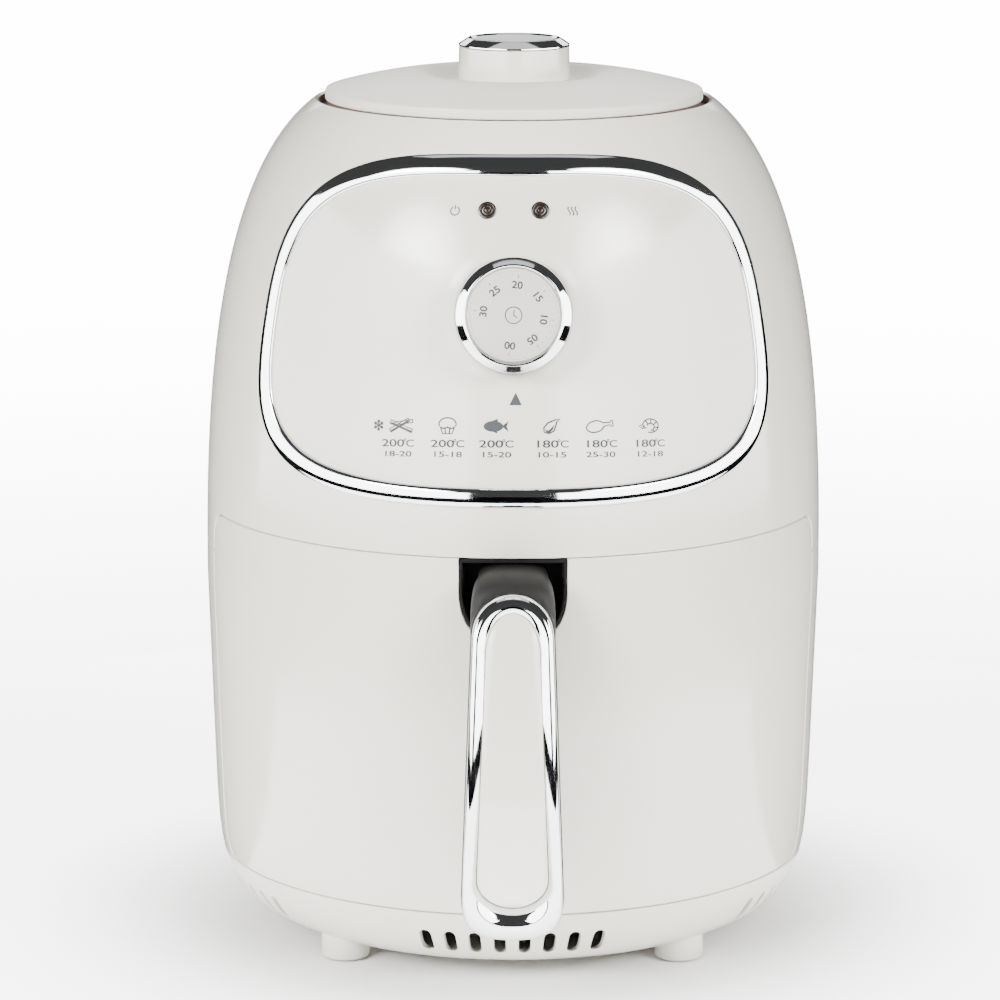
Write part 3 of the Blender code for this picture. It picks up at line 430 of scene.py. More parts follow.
def notch_outline(wider):
    """U-shaped outline of the handle notch, open towards the drawer's top."""
    per_end, per_side = 40, 12
    half = NOTCH_HALF_WIDTH + wider
    low = NOTCH_Z - wider
    high = DRAWER_Z[1] + NOTCH_OVERRUN + wider
    depth = NOTCH_DEPTH
    points = [(half, high), (0.0, high), (-half, high)]
    sides = [low + depth + (high - low - depth) * i / per_side for i in range(per_side - 1, 0, -1)]
    points += [(-half, z) for z in sides]
    for i in range(per_end + 1):
        turn = pi + pi * i / per_end
        points.append((half * signed_power(cos(turn), NOTCH_SHAPE),
                       low + depth + depth * signed_power(sin(turn), NOTCH_SHAPE)))
    return points + [(half, z) for z in reversed(sides)]


# --------------------------------------------------------------- materials
LOOKS = {}
TINT_SCALE = 22.0               # all in cycles a metre
SMUDGE_SCALE = 95.0
WAVE_SCALE = 30.0
WORN_EDGES = (0.52, 0.60)       # pointiness at which wear begins and is complete


def set_inputs(node, **values):
    """Set a node's inputs by name, with _ for a space."""
    for name, value in values.items():
        node.inputs[name.replace("_", " ")].default_value = value


def new_material(name):
    """A material and its Principled shader."""
    material = bpy.data.materials.new(name)
    material.use_nodes = True
    return material, material.node_tree.nodes["Principled BSDF"]


def noise(tree, place, scale, detail):
    texture = tree.nodes.new("ShaderNodeTexNoise")
    set_inputs(texture, Scale=scale, Detail=detail)
    tree.links.new(place, texture.inputs["Vector"])
    return texture.outputs["Fac"]


def ranged(tree, value, low, high, start=0.3, end=0.7):
    step = tree.nodes.new("ShaderNodeMapRange")
    set_inputs(step, From_Min=start, From_Max=end, To_Min=low, To_Max=high)
    tree.links.new(value, step.inputs["Value"])
    return step.outputs["Result"]


def mixed(tree, share, first, second):
    """Colour between two, each a colour or another node's output."""
    mix = tree.nodes.new("ShaderNodeMix")
    mix.data_type = 'RGBA'
    tree.links.new(share, mix.inputs["Factor"])
    for socket, value in ((mix.inputs[6], first), (mix.inputs[7], second)):
        if isinstance(value, tuple):
            socket.default_value = (*value, 1)
        else:
            tree.links.new(value, socket)
    return mix.outputs[2]


def shaded(colour, factor):
    return tuple(min(1.0, channel * factor) for channel in colour)


def surface(name, colour, roughness, metallic=0.0, grain=1200.0, grain_depth=0.00001, wave=0.0,
            blotch=0.03, gloss_range=0.05, wear=1.08, coat=0.0, coat_roughness=0.05, ior=1.5,
            specular=0.5):
    """Moulded plastic, metal or coating with varied colour and gloss, grain and worn edges.

    wave is the depth of the slow unevenness of a moulded face. grain is in cycles a metre.
    The material goes into LOOKS under its name.
    """
    material, shader = new_material(name)
    tree = material.node_tree
    set_inputs(shader, Metallic=metallic, IOR=ior, Specular_IOR_Level=specular,
               Coat_Weight=coat, Coat_Roughness=coat_roughness)
    place = tree.nodes.new("ShaderNodeTexCoord").outputs["Object"]
    slow = noise(tree, place, TINT_SCALE, 3.0)
    fine = noise(tree, place, grain, 4.0)
    tint = mixed(tree, ranged(tree, slow, 0.0, 1.0), shaded(colour, 1 - blotch),
                 shaded(colour, 1 + blotch))
    edges = tree.nodes.new("ShaderNodeNewGeometry").outputs["Pointiness"]
    worn = mixed(tree, ranged(tree, edges, 0.0, 1.0, *WORN_EDGES), tint, shaded(colour, wear))
    tree.links.new(worn, shader.inputs["Base Color"])
    smudge = noise(tree, place, SMUDGE_SCALE, 5.0)
    gloss = ranged(tree, smudge, roughness - gloss_range / 2, roughness + gloss_range, 0.35, 0.75)
    tree.links.new(gloss, shader.inputs["Roughness"])
    bump = tree.nodes.new("ShaderNodeBump")
    bump.inputs["Distance"].default_value = grain_depth
    tree.links.new(fine, bump.inputs["Height"])
    if wave:
        slow_bump = tree.nodes.new("ShaderNodeBump")
        slow_bump.inputs["Distance"].default_value = wave
        tree.links.new(noise(tree, place, WAVE_SCALE, 1.0), slow_bump.inputs["Height"])
        tree.links.new(slow_bump.outputs["Normal"], bump.inputs["Normal"])
    tree.links.new(bump.outputs["Normal"], shader.inputs["Normal"])
    LOOKS[name] = material


surface("white_gloss", (0.70, 0.676, 0.600), 0.17, grain=1400, grain_depth=0.0000012, wave=0.00002,
        blotch=0.006, gloss_range=0.05, wear=1.03, coat=0.35, coat_roughness=0.08)
surface("white_satin", (0.68, 0.658, 0.590), 0.42, grain=2400, grain_depth=0.000006, blotch=0.008,
        gloss_range=0.05, wear=1.04)
surface("white_matte", (0.70, 0.676, 0.600), 0.55, grain=1800, grain_depth=0.00001, blotch=0.012,
        wear=1.05)
surface("dial_white", (0.52, 0.503, 0.460), 0.36, grain=2600, grain_depth=0.000003, blotch=0.006,
        wear=1.02)
surface("chrome", (0.80, 0.81, 0.83), 0.055, 1.0, grain=500, grain_depth=0.000001, wave=0.000012,
        blotch=0.008, gloss_range=0.03, wear=1.04)
surface("chrome_satin", (0.66, 0.66, 0.665), 0.30, 1.0, grain=2600, grain_depth=0.000004,
        blotch=0.015, gloss_range=0.06)
surface("black_plastic", (0.0075, 0.0066, 0.0069), 0.30, grain=1700, grain_depth=0.000008,
        blotch=0.10, wear=1.3, gloss_range=0.06, ior=1.3, specular=0.12)
surface("grey_plastic", (0.0105, 0.0102, 0.0098), 0.56, grain=2300, grain_depth=0.000022,
        blotch=0.08, wear=1.35, gloss_range=0.08, ior=1.32, specular=0.35)
surface("lens", (0.014, 0.0075, 0.0050), 0.22, grain=900, grain_depth=0.000002, blotch=0.2,
        wear=1.4, coat=0.2, coat_roughness=0.10)
# gap: dark brown painted shade for the faces in the narrow gap round the lid
surface("gap", (0.095, 0.062, 0.046), 0.60, grain=1500, grain_depth=0.00001, blotch=0.15)
surface("rubber", (0.52, 0.51, 0.49), 0.82, grain=1500, grain_depth=0.00003, blotch=0.04)
surface("silicone", (0.030, 0.030, 0.032), 0.70, grain=1500, grain_depth=0.00002, blotch=0.12)
surface("nonstick", (0.030, 0.030, 0.032), 0.38, 0.2, grain=2200, grain_depth=0.00003, blotch=0.12,
        wear=1.8, gloss_range=0.12)
surface("steel", (0.55, 0.55, 0.56), 0.32, 1.0, grain=900, grain_depth=0.000015, blotch=0.05,
        gloss_range=0.12)
surface("heater", (0.20, 0.185, 0.175), 0.46, 0.9, grain=1300, grain_depth=0.00002, blotch=0.25,
        wear=1.3, gloss_range=0.16)
surface("aluminium", (0.72, 0.72, 0.72), 0.38, 1.0, grain=1100, grain_depth=0.00002, blotch=0.05,
        gloss_range=0.12)
surface("copper", (0.62, 0.30, 0.14), 0.40, 0.9, grain=1600, grain_depth=0.00006, blotch=0.12,
        gloss_range=0.12)
surface("brass", (0.66, 0.50, 0.22), 0.30, 1.0, grain=1100, grain_depth=0.000015, blotch=0.08,
        gloss_range=0.12)
surface("print_grey", (0.020, 0.022, 0.025), 0.50, grain=2600, grain_depth=0.000004, blotch=0.10,
        gloss_range=0.1)
surface("print_light", (0.022, 0.022, 0.022), 0.50, grain=2600, grain_depth=0.000004, blotch=0.10,
        gloss_range=0.1)


def install(obj, body, slot, look, *nodes):
    """Dress a piece that has no look yet, put it on its body and let it stand for CAD nodes."""
    if not obj.data.materials:
        obj.data.materials.append(LOOKS[look])
    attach(obj, body)
    if nodes:
        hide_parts(*nodes)
    return obj


def two_looks(obj, look, other, chosen):
    """Give an object one look, and another on the faces whose centres are chosen."""
    obj.data.materials.append(LOOKS[look])
    obj.data.materials.append(LOOKS[other])
    for face in obj.data.polygons:
        if chosen(face.center):
            face.material_index = 1


# ---------------------------------------------------------------- housings
OPENING_RIM = (0.0687, 0.2917)      # radius and height of the dome's rim round the lid
PAINTED_SHADE_TOP_Z = 0.2908                  # the lid's opening is painted with dark shade below this height
OUTLET_DEPTH = 0.008
OPENING_CUT = ((0, 0.004), (0, -0.012))
VENT_FLARE = ((0.0006, 0.0040), (0.0006, 0.0002), (0.00022, 0.0), (0.00005, -0.0003),
              (0.0, -0.0007), (0.0, -0.0080))
VENT_ANGLES = ([i * 4.9 + 2.45 for i in range(-4, 4)]
               + [side * angle for side in (-1, 1) for angle in range(55, 90, 5)])
BASE_OPENING_R = 0.0680
BASE_INNER_R = 0.0880
CORD_HOLE_R = 0.0063


def skin_profile(low, high, count, crowd, inset=0.0):
    """Points (radius, height) on the skin or inset from it, from one height to another."""
    return [(float(skin_radius(z)) - inset, z) for z in spread(low, high, count, crowd)]


def make_upper_housing():
    outer = skin_profile(SPLIT_Z + 0.0012, DOME_TOP_Z, 64, 1.6)
    top = float(skin_radius(SPLIT_Z))
    inner = [(float(skin_radius(z + 0.0016)) - 0.0022, z)
             for z in spread(SPLIT_Z, LEDGE_Z - WALL, 24, 1.6)]
    profile = [
        (LID_OPENING_R, LEDGE_Z),
        (LID_OPENING_R, OPENING_RIM[1] - 0.0005, 0.0003),
        (*OPENING_RIM, 0.0005),
        *outer[::-1],
        (top, SPLIT_Z, 0.0009),
        *inner,
        (LEDGE_R, LEDGE_Z - WALL),
        (LEDGE_R, LEDGE_Z),
    ]
    housing = turned("upper_housing_shell", profile)
    angle, height = (size + gap for size, gap in zip(PANEL_SEAM, PANEL_GAP))
    carve(housing, plug("panel_opening", lambda wider: panel_ring(angle, height), OPENING_CUT))
    carve(housing, drawer_cutter("upper_drawer_cutter"))
    carve(housing, skin_patch("outlet_cutter", *OUTLET_CUT, OUTLET_CORNER,
                              (*EDGE_FLARE, (0.0, -OUTLET_DEPTH)), columns=16, rows=16, turn=pi))
    # painted shade: the opening's wall and ledge under the lid get the dark gap look
    two_looks(housing, "white_gloss", "gap",
              lambda middle: (hypot(middle.x, middle.y) < LID_OPENING_R + 0.0001
                              and LEDGE_Z - 0.0005 < middle.z < PAINTED_SHADE_TOP_Z))
    follow_skin(housing)
    install(housing, "housing", "body_white", "white_gloss", "upper_housing")


def drawer_cutter(name):
    return skin_patch(name, DRAWER_HALF_ANGLE, *DRAWER_Z, DRAWER_CORNER,
                      (*EDGE_FLARE, OPENING_CUT[-1]))


def vent_cutter():
    """All the air inlets that ring the foot of the body."""
    outline = stadium(*VENT_SIZE, VENT_Z)
    return joined_objects("vent_cutter", [plug("vent", outline, VENT_FLARE, radians(angle))
                                          for angle in VENT_ANGLES])


def make_lower_housing():
    top = SPLIT_Z - 0.0005
    rim = float(skin_radius(top))
    bottom = float(skin_radius(BASE_Z))
    outer = skin_profile(top - 0.0010, BASE_Z + 0.0004, 72, 1.8)
    inner = skin_profile(top, 0.0150, 24, 1.8, WALL)
    profile = [
        (rim, top, 0.0005),
        *outer,
        (bottom - 0.0002, BASE_Z, 0.0002),
        (BASE_OPENING_R, BASE_Z),
        (BASE_OPENING_R, BASE_Z + WALL),
        (BASE_INNER_R, BASE_Z + WALL),
        *inner[::-1],
    ]
    housing = turned("lower_housing_shell", profile)
    carve(housing, drawer_cutter("lower_drawer_cutter"))
    carve(housing, vent_cutter())
    carve(housing, drill("cord_inlet", CORD_HOLE_R, 0.010, -0.012, skin_frame(pi, CORD_Z)))
    follow_skin(housing)
    install(housing, "housing", "body_white", "white_gloss", "lower_housing")


def make_outlet_grille():
    low, high = node_box("outlet_grille")
    levels = [(wider, offset - 0.0003) for wider, offset in fillet_levels(0.0007, 0.0020)]
    grille = skin_patch("outlet_grille_fine", OUTLET_HALF_ANGLE, low.z, high.z, OUTLET_CORNER,
                        levels, columns=24, rows=40, turn=pi)
    for height in OUTLET_SLOTS:
        outline = level_slot(height)
        carve(grille, lofted("slot", [[(x, y, z) for x, z in outline] for y in (0.080, 0.125)]))
    install(grille, "housing", "lid_white", "white_satin", "outlet_grille")


def level_slot(z):
    """Outline of a level slot of the outlet, with round ends, as (x, z)."""
    half, radius, per_end = 0.026, 0.0017, 10
    points = []
    for i in range(2 * per_end + 2):
        side = 1 if i <= per_end else -1
        turn = -pi / 2 + pi * (i - (side < 0)) / per_end
        points.append((side * (half - radius) + radius * cos(turn), z + radius * sin(turn)))
    return points


def make_feet():
    """Four feet, trimmed to the underside, each with a soft pad."""
    trim_z, top, recess = 0.030, 0.0140, 0.0023
    skin = skin_profile(trim_z, BASE_Z, 16, 1.8)
    for name in ("foot_front_left", "foot_front_right", "foot_rear_left", "foot_rear_right"):
        low, high = node_box(name)
        pad_low, pad_high = node_box(name + "_pad")
        centre = (pad_low + pad_high) / 2
        matrix = Matrix.Translation((centre.x, centre.y, 0))
        radius = (high.x - low.x) / 2
        profile = [(0, top), (radius - 0.0001, top), (radius, low.z, 0.0007),
                   (0.0065, low.z, 0.0002), (0.0064, recess), (0, recess)]
        foot = turned(name + "_fine", profile, False, 72, matrix)
        carve(foot, turned("under", [(0, trim_z), *skin, (0, BASE_Z)], False, 144))
        install(foot, "housing", "feet_white", "white_matte", name)
        pad = [(0, pad_high.z), (0.0061, pad_high.z), (0.0061, 0, 0.0005), (0.0034, 0, 0.0002),
               (0.0030, 0.0004, 0.0002), (0, 0.0004)]
        pad = turned(name + "_pad_fine", pad, False, 64, matrix)
        install(pad, "housing", "foot_rubber", "rubber", name + "_pad")


def make_cord_gland():
    """Round grommet in the rear wall, level with the floor."""
    bore, flange, low = 0.0032, 0.0072, -0.0062
    profile = [(bore, 0.0034, 0.0003), (0.0055, 0.0034, 0.0007), (flange, 0.0016, 0.0005),
               (flange, 0.0003), (0.0061, 0.0001), (0.0060, -0.0045), (flange, -0.0045),
               (flange, low, 0.0003), (bore, low)]
    facing_back = Matrix.Rotation(pi, 4, 'Z') @ Matrix.Rotation(pi / 2, 4, 'X')
    matrix = Matrix.Translation(skin_point(pi, CORD_Z)) @ facing_back
    gland = turned("cord_gland_fine", profile, True, 72, matrix)
    install(gland, "housing", "black_plastic", "black_plastic", "cord_gland")


# ------------------------------------------------------------------- panel
def panel_ring(half_angle, half_height):
    """Rounded outline of the control panel as (x, z), bowed with the body."""
    outline = panel_angles(half_angle, half_height)
    return [(float(skin_radius(z)) * sin(angle), z) for angle, z in outline]


def panel_angles(half_angle, half_height, count=240):
    """The same outline as (angle, z)."""
    points = []
    for i in range(count):
        turn = tau * (i + 0.5) / count
        power = 2 / PANEL_SHAPE[0 if sin(turn) >= 0 else 1]
        angle = radians(half_angle) * signed_power(cos(turn), power)
        points.append((angle, PANEL_Z + half_height * signed_power(sin(turn), power)))
    return points


def make_control_panel():
    """Dome-shaped panel made of nested outlines, with holes for the lamps and the timer."""
    half, height = (size - gap for size, gap in zip(PANEL_SEAM, PANEL_GAP))
    rings = []
    for shares, out in ((spread(0.0, 1.0, 56), 0.0), (spread(1.0, 0.0, 20), -PANEL_THICKNESS)):
        for share in shares:
            outline = panel_angles(half * share, height * share)
            rings.append([skin_point(angle, z, out) for angle, z in outline])
    panel = lofted("control_panel_fine", rings, caps=False)
    hole = [(0, 0.004), (0.0046, 0.004), (0.0046, 0.0004), (0.0036, -0.0004), (0.0035, -0.006),
            (0, -0.006)]
    for side in (-1, 1):
        matrix = skin_frame(radians(side * LENS_ANGLE), LENS_Z)
        carve(panel, turned("lens_hole", hole, False, 64, matrix))
    carve(panel, drill("timer_hole", 0.0045, 0.01, -0.01, TIMER_FRAME))
    follow_skin(panel)
    install(panel, "housing", "body_white", "white_gloss", "control_panel")


def make_trim_ring():
    """Chrome band that covers the panel's seam, domed across its width."""
    outer = panel_angles(*TRIM_OUTER, 360)
    inner = panel_angles(*TRIM_INNER, 360)
    power = 2 / TRIM_SHAPE
    foot = 0.00003
    section = [(0.0, foot)]
    for i in range(33):
        turn = pi * i / 32
        across = 0.5 - 0.5 * signed_power(cos(turn), power)
        rise = signed_power(sin(turn), power)
        section.append((across, TRIM_EDGE + (TRIM_HEIGHT - TRIM_EDGE) * rise))
    section.append((1.0, foot))
    rings = []
    for across, out in section:
        rings.append([skin_point(a + (c - a) * across, b + (d - b) * across, out)
                      for (a, b), (c, d) in zip(outer, inner)])
    ring = lofted("panel_trim_ring_fine", rings, joined=True, caps=False)
    install(ring, "housing", "chrome_trim", "chrome", "panel_trim_ring")


def make_lenses():
    """Dark lamp lenses with concentric ridges."""
    profile = [(0, 0.0010), (0.0007, 0.0009, 0.0002), (0.0010, 0.0006), (0.0013, 0.0009, 0.0002),
               (0.0017, 0.0008, 0.0002), (0.0020, 0.0004), (0.0023, 0.0007, 0.0002),
               (0.0030, 0.0006, 0.0004), (0.0031, -0.0036), (0.0044, -0.0036), (0.0044, -0.0060),
               (0, -0.0060)]
    for name, side in (("power_lens", -1), ("working_lens", 1)):
        matrix = skin_frame(radians(side * LENS_ANGLE), LENS_Z)
        lens = turned(name + "_fine", profile, False, 72, matrix, 3)
        install(lens, "housing", "indicator_lens", "lens", name)


# ------------------------------------------------------------------- timer
TIMER_Z = 0.2315
TIMER_TILT = 10.0
TIMER_FRAME = (Matrix.Translation((0, -float(skin_radius(TIMER_Z)), TIMER_Z))
               @ Matrix.Rotation(radians(90 - TIMER_TILT), 4, 'X'))
DIAL_TOP = 0.0121
DIAL_RADIUS = 0.0153
DIAL_TURN = radians(-7)     # the dial rests a little short of its zero mark
SWELL_START = 0.0195        # a shallow swelling of the panel round the knob
SWELL_WIDTH = 0.0045
SWELL_HEIGHT = 0.00024


def make_timer():
    ring = [(0.0157, 0.0126, 0.0002), (0.0161, 0.0130, 0.0002), (0.0166, 0.0129, 0.0003),
            (0.0189, 0.0100, 0.0006), (0.0190, 0.0092, 0.0003), (0.0190, 0.0031, 0.0004),
            (0.0176, 0.0031, 0.0002), (0.0160, 0.0070)]
    ring = turned("timer_knob_ring_fine", ring, True, 256, TIMER_FRAME)
    install(ring, "timer_dial", "chrome_trim", "chrome", "timer_knob_ring")
    dial = [(0, DIAL_TOP), (0.0143, DIAL_TOP, 0.00008), (0.01435, DIAL_TOP - 0.0002, 0.00005),
            (0.01455, DIAL_TOP - 0.0002, 0.00005), (0.0146, DIAL_TOP, 0.00008),
            (DIAL_RADIUS, DIAL_TOP, 0.0004), (DIAL_RADIUS, 0.0030), (0.0033, 0.0030),
            (0.0033, 0.0092), (0, 0.0092)]
    dial = turned("timer_knob_dial_fine", dial, False, 192, TIMER_FRAME, 3)
    install(dial, "timer_dial", "lid_white", "dial_white", "timer_knob_dial")


def make_timer_surround():
    """Very shallow raised ring of the panel round the timer knob."""
    rings = []
    base = 0.00002
    section = [(SWELL_START, base)]
    section += [(SWELL_START + SWELL_WIDTH * t, base + SWELL_HEIGHT * (1 - t * t) ** 2)
                for t in spread(0.0, 1.0, 16)]
    lean = float(skin_lean(TIMER_Z))
    for reach, out in section:
        ring = []
        for i in range(192):
            turn = tau * i / 192
            z = TIMER_Z + reach * sin(turn) * cos(lean)
            ring.append(skin_point(reach * cos(turn) / float(skin_radius(z)), z, out))
        rings.append(ring)
    surround = lofted("timer_surround", rings, joined=True, caps=False)
    install(surround, "housing", "body_white", "white_gloss")


# ------------------------------------------------------------- lid and knob
LID_CREST = (0.0335, 0.3005)        # radius and height of the ring round the dish
LID_RIM_Z = 0.2950
LID_LIP_Z = 0.2916
LID_DISH = (0.0205, 0.2972)         # radius and height of the dish's floor
LID_BORE = 0.0042
LID_PAINTED_SHADE_R = 0.0624                  # the underside is painted with dark shade outside this radius
CAP_DISC_R = 0.0146


def make_top_cover():
    """Lid disc with a shallow dish under the knob and painted dark shade in the gap below its lip.
    """
    crest_r, crest_z = LID_CREST
    dish_r, dish_z = LID_DISH
    slope = []
    for t in spread(0.0, 0.97, 24):
        slope.append((crest_r + (LID_RADIUS - 0.0004 - crest_r) * t,
                      crest_z - (crest_z - LID_RIM_Z) * t ** 1.6))
    dish = []
    for t in [i / 12 for i in range(12)]:
        dish.append((dish_r + (crest_r - dish_r) * t,
                     dish_z + (crest_z - dish_z) * t * t * (3 - 2 * t)))
    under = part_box("top_cover")[0][2]
    profile = [
        (LID_BORE, dish_z), *dish, *slope,
        (LID_RADIUS, LID_RIM_Z - 0.0002, 0.0008), (LID_RADIUS, LID_LIP_Z, 0.0004),
        (LID_RADIUS - 0.0006, LID_LIP_Z - 0.0002), (LID_RADIUS - 0.0008, under, 0.0003),
        (0.0628, under), (0.0620, 0.2930), (0.0330, 0.2984), (0.0240, 0.2950), (LID_BORE, 0.2950),
    ]
    lid = turned("top_cover_fine", profile)
    # painted shade: the lid's lip and underside near its rim get the dark gap look
    two_looks(lid, "white_satin", "gap",
              lambda middle: middle.z < LID_LIP_Z - 0.0001 and middle.xy.length > LID_PAINTED_SHADE_R)
    install(lid, "housing", "lid_white", "white_satin", "top_cover")


def make_temperature_knob():
    knob = [(0, KNOB_HIGH), (0.0191, KNOB_HIGH, 0.0002), (KNOB_RADIUS, KNOB_LOW, 0.0006),
            (0.0033, KNOB_LOW), (0.0033, 0.3048), (0, 0.3048)]
    knob = turned("temperature_knob_fine", knob, False, 256)
    install(knob, "temperature_dial", "body_white", "white_gloss", "temperature_knob")
    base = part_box("temperature_knob_cap")[0][2]
    cap = [(0, TOP_Z - 0.0007), (CAP_DISC_R - 0.0001, TOP_Z - 0.0005), (0.0152, TOP_Z, 0.0002),
           (0.0160, TOP_Z, 0.0003), (0.0192, base + 0.0005, 0.0002), (0.0192, base, 0.0001),
           (0, base)]
    part = turned("temperature_knob_cap_fine", cap, False, 256)
    two_looks(part, "chrome", "chrome_satin",
              lambda middle: middle.z > TOP_Z - 0.0012 and middle.xy.length < CAP_DISC_R)
    install(part, "temperature_dial", "chrome_trim", "chrome", "temperature_knob_cap")


# ------------------------------------------------------------------ drawer
DRAWER_GAP_ANGLE = 0.3      # degrees at each side
NOTCH_FLARE = ((0.0014, 0.0040), (0.0009, 0.0004), (0.00030, 0.0), (0.0001, -0.0003),
               (0.0, -0.0007), (0.0, -0.0120))
INNER_PANEL = (62.0, 0.0360, 0.1470, 0.012)     # half angle, heights and corner
INNER_PANEL_DEPTH = 0.0105
SOCKET_GAP = 0.0003
SOCKET_WALLS = (0.0019, 0.0012)     # thickness of its back and of its top
SOCKET_FRONT_Y = -0.1064
SOCKET_LIP = ((-0.00025, -0.0085), (-0.00025, -0.0010), (-0.00015, -0.0002), (-0.0004, 0.0),
              (-0.0008, 0.0), (-0.0011, -0.0003), (-0.0013, -0.0011), (-0.0016, -0.0085))
PLATE_SLOTS = ((range(0, 360, 60), 0.027, 0.018), (range(15, 360, 30), 0.055, 0.020))


def make_drawer_front():
    low, high = node_box("drawer_front")
    front = skin_patch("drawer_front_fine", DRAWER_HALF_ANGLE - DRAWER_GAP_ANGLE, low.z, high.z,
                       DRAWER_CORNER, fillet_levels(0.0006, 0.0025), columns=80, rows=90)
    carve(front, plug("notch", notch_outline, NOTCH_FLARE))
    follow_skin(front)
    install(front, "drawer", "body_white", "white_gloss", "drawer_front")


def make_drawer_inner_panel():
    levels = [(wider, offset - INNER_PANEL_DEPTH)
              for wider, offset in fillet_levels(0.0006, 0.0016, 3)]
    panel = skin_patch("drawer_inner_panel_fine", *INNER_PANEL, levels, columns=40, rows=30)
    carve(panel, plug("notch", lambda wider: notch_outline(0.0004), ((0, 0.004), (0, -0.030))))
    install(panel, "drawer", "black_plastic", "black_plastic", "drawer_inner_panel")


def make_handle_socket():
    """Black pocket behind the notch, with a lip that lines the notch's edge."""
    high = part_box("handle_socket")[1][2]
    rings = [socket_ring(wider, offset, high) for wider, offset in SOCKET_LIP]
    wall = lofted("handle_socket_wall", rings, ring_closed=False, joined=True, caps=False)
    close_ends(wall)
    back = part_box("handle_socket")[1][1] - AXIS_Y
    back_wall, top_wall = SOCKET_WALLS
    outline = u_shape(-SOCKET_GAP, high)
    plate = [[(x, y, z) for x, z in outline] for y in (back, back - back_wall)]
    floor = lofted("handle_socket_floor", plate)
    outline = level_bar(high - top_wall, high)
    top = [[(x, y, z) for x, z in outline] for y in (back - 0.0001, SOCKET_FRONT_Y)]
    ceiling = lofted("handle_socket_top", top)
    socket = joined_objects("handle_socket_fine", [wall, floor, ceiling])
    smooth(socket.data)
    install(socket, "drawer", "black_plastic", "black_plastic", "handle_socket")


def u_shape(wider, high):
    return [(x, min(z, high)) for x, z in notch_outline(wider)]


def level_bar(low, high):
    half = NOTCH_HALF_WIDTH - SOCKET_GAP
    return [(half, low), (half, high), (-half, high), (-half, low)]


def socket_ring(wider, offset, high):
    """Open U of points on the skin along the notch's edge."""
    ring = []
    outline = u_shape(wider, high)
    for x, z in outline[2:] + outline[:1]:
        radius = float(skin_radius(z))
        ring.append((x, -sqrt(radius * radius - x * x) - offset, z))
    return ring


def close_ends(obj):
    """Fill the open ends of a joined band."""
    bm = bmesh.new()
    bm.from_mesh(obj.data)
    bmesh.ops.holes_fill(bm, edges=[edge for edge in bm.edges if edge.is_boundary])
    bmesh.ops.recalc_face_normals(bm, faces=bm.faces)
    bm.to_mesh(obj.data)
    bm.free()


def make_pan():
    outer, wall, rim = 0.0805, 0.0012, 0.0840
    inner = outer - wall
    low, high = PAN_LOW, PAN_HIGH
    profile = [
        (0, low), (0.0735, low, 0.006), (outer, low + 0.0085, 0.008),
        (outer, high - wall, 0.0004), (rim, high - wall, 0.0004), (rim, high, 0.0005),
        (inner, high, 0.0012),
        (inner, low + 0.0090, 0.008), (0.0732, low + wall, 0.006), (0, low + wall),
    ]
    pan = turned("pan_fine", profile, False, 192)
    install(pan, "drawer", "nonstick_coating", "nonstick", "pan")


def make_crisper_plate():
    """Perforated plate with a turned rim and two rings of slots."""
    profile = [(0, PLATE_HIGH), (PLATE_RADIUS, PLATE_HIGH, 0.0005),
               (PLATE_RADIUS, PLATE_LOW, 0.0004), (0, PLATE_LOW)]
    plate = turned("crisper_plate_fine", profile, False, 192)
    slots = []
    for angles, reach, length in PLATE_SLOTS:
        for angle in angles:
            outline = [(y, z + reach) for y, z in stadium(length, 0.0050, 0.0)(0)]
            rings = [[(x, y, z) for x, y in outline] for z in (PLATE_LOW - 0.01, PLATE_HIGH + 0.01)]
            slots.append(lofted("slot", rings, matrix=Matrix.Rotation(radians(angle), 4, 'Z')))
    carve(plate, joined_objects("slots", slots))
    install(plate, "crisper", "nonstick_coating", "nonstick", "crisper_plate")


def make_bumpers():
    """Silicone bumpers that grip the crisper plate's edge."""
    for place in ("front_left", "front_right", "rear_left", "rear_right"):
        name = "bumper_" + place
        bumper = copy_of_node(name, name + "_fine")
        add_bevel(bumper, 0.0007, 3)
        install(bumper, "crisper", "silicone", "silicone", name)


def copy_of_node(node_name, name):
    """A new object with a copy of a CAD node's mesh, free of its materials."""
    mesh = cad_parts[node_name].data.copy()
    mesh.name = name
    mesh.materials.clear()
    mesh.transform(Matrix.Translation((0, -AXIS_Y, 0)))
    bm = bmesh.new()
    bm.from_mesh(mesh)
    bmesh.ops.remove_doubles(bm, verts=bm.verts, dist=0.000002)
    bmesh.ops.dissolve_limit(bm, angle_limit=radians(1), verts=bm.verts, edges=bm.edges)
    bm.to_mesh(mesh)
    bm.free()
    return new_object(name, mesh)


def add_bevel(obj, width, segments):
    modifier = obj.modifiers.new("edges", 'BEVEL')
    modifier.width = width
    modifier.segments = segments
    modifier.limit_method = 'ANGLE'
    modifier.angle_limit = radians(35)
    baked(obj)
    smooth(obj.data)


# ----------------------------------------------------------------- chamber
def liner_outline(half_width, front):
    """Half a circle round the back with straight sides up to the front."""
    turns = [pi * i / 96 for i in range(97)]
    sides = [(half_width * cos(turn), half_width * sin(turn)) for turn in turns]
    return [(half_width, front)] + sides + [(-half_width, front)]


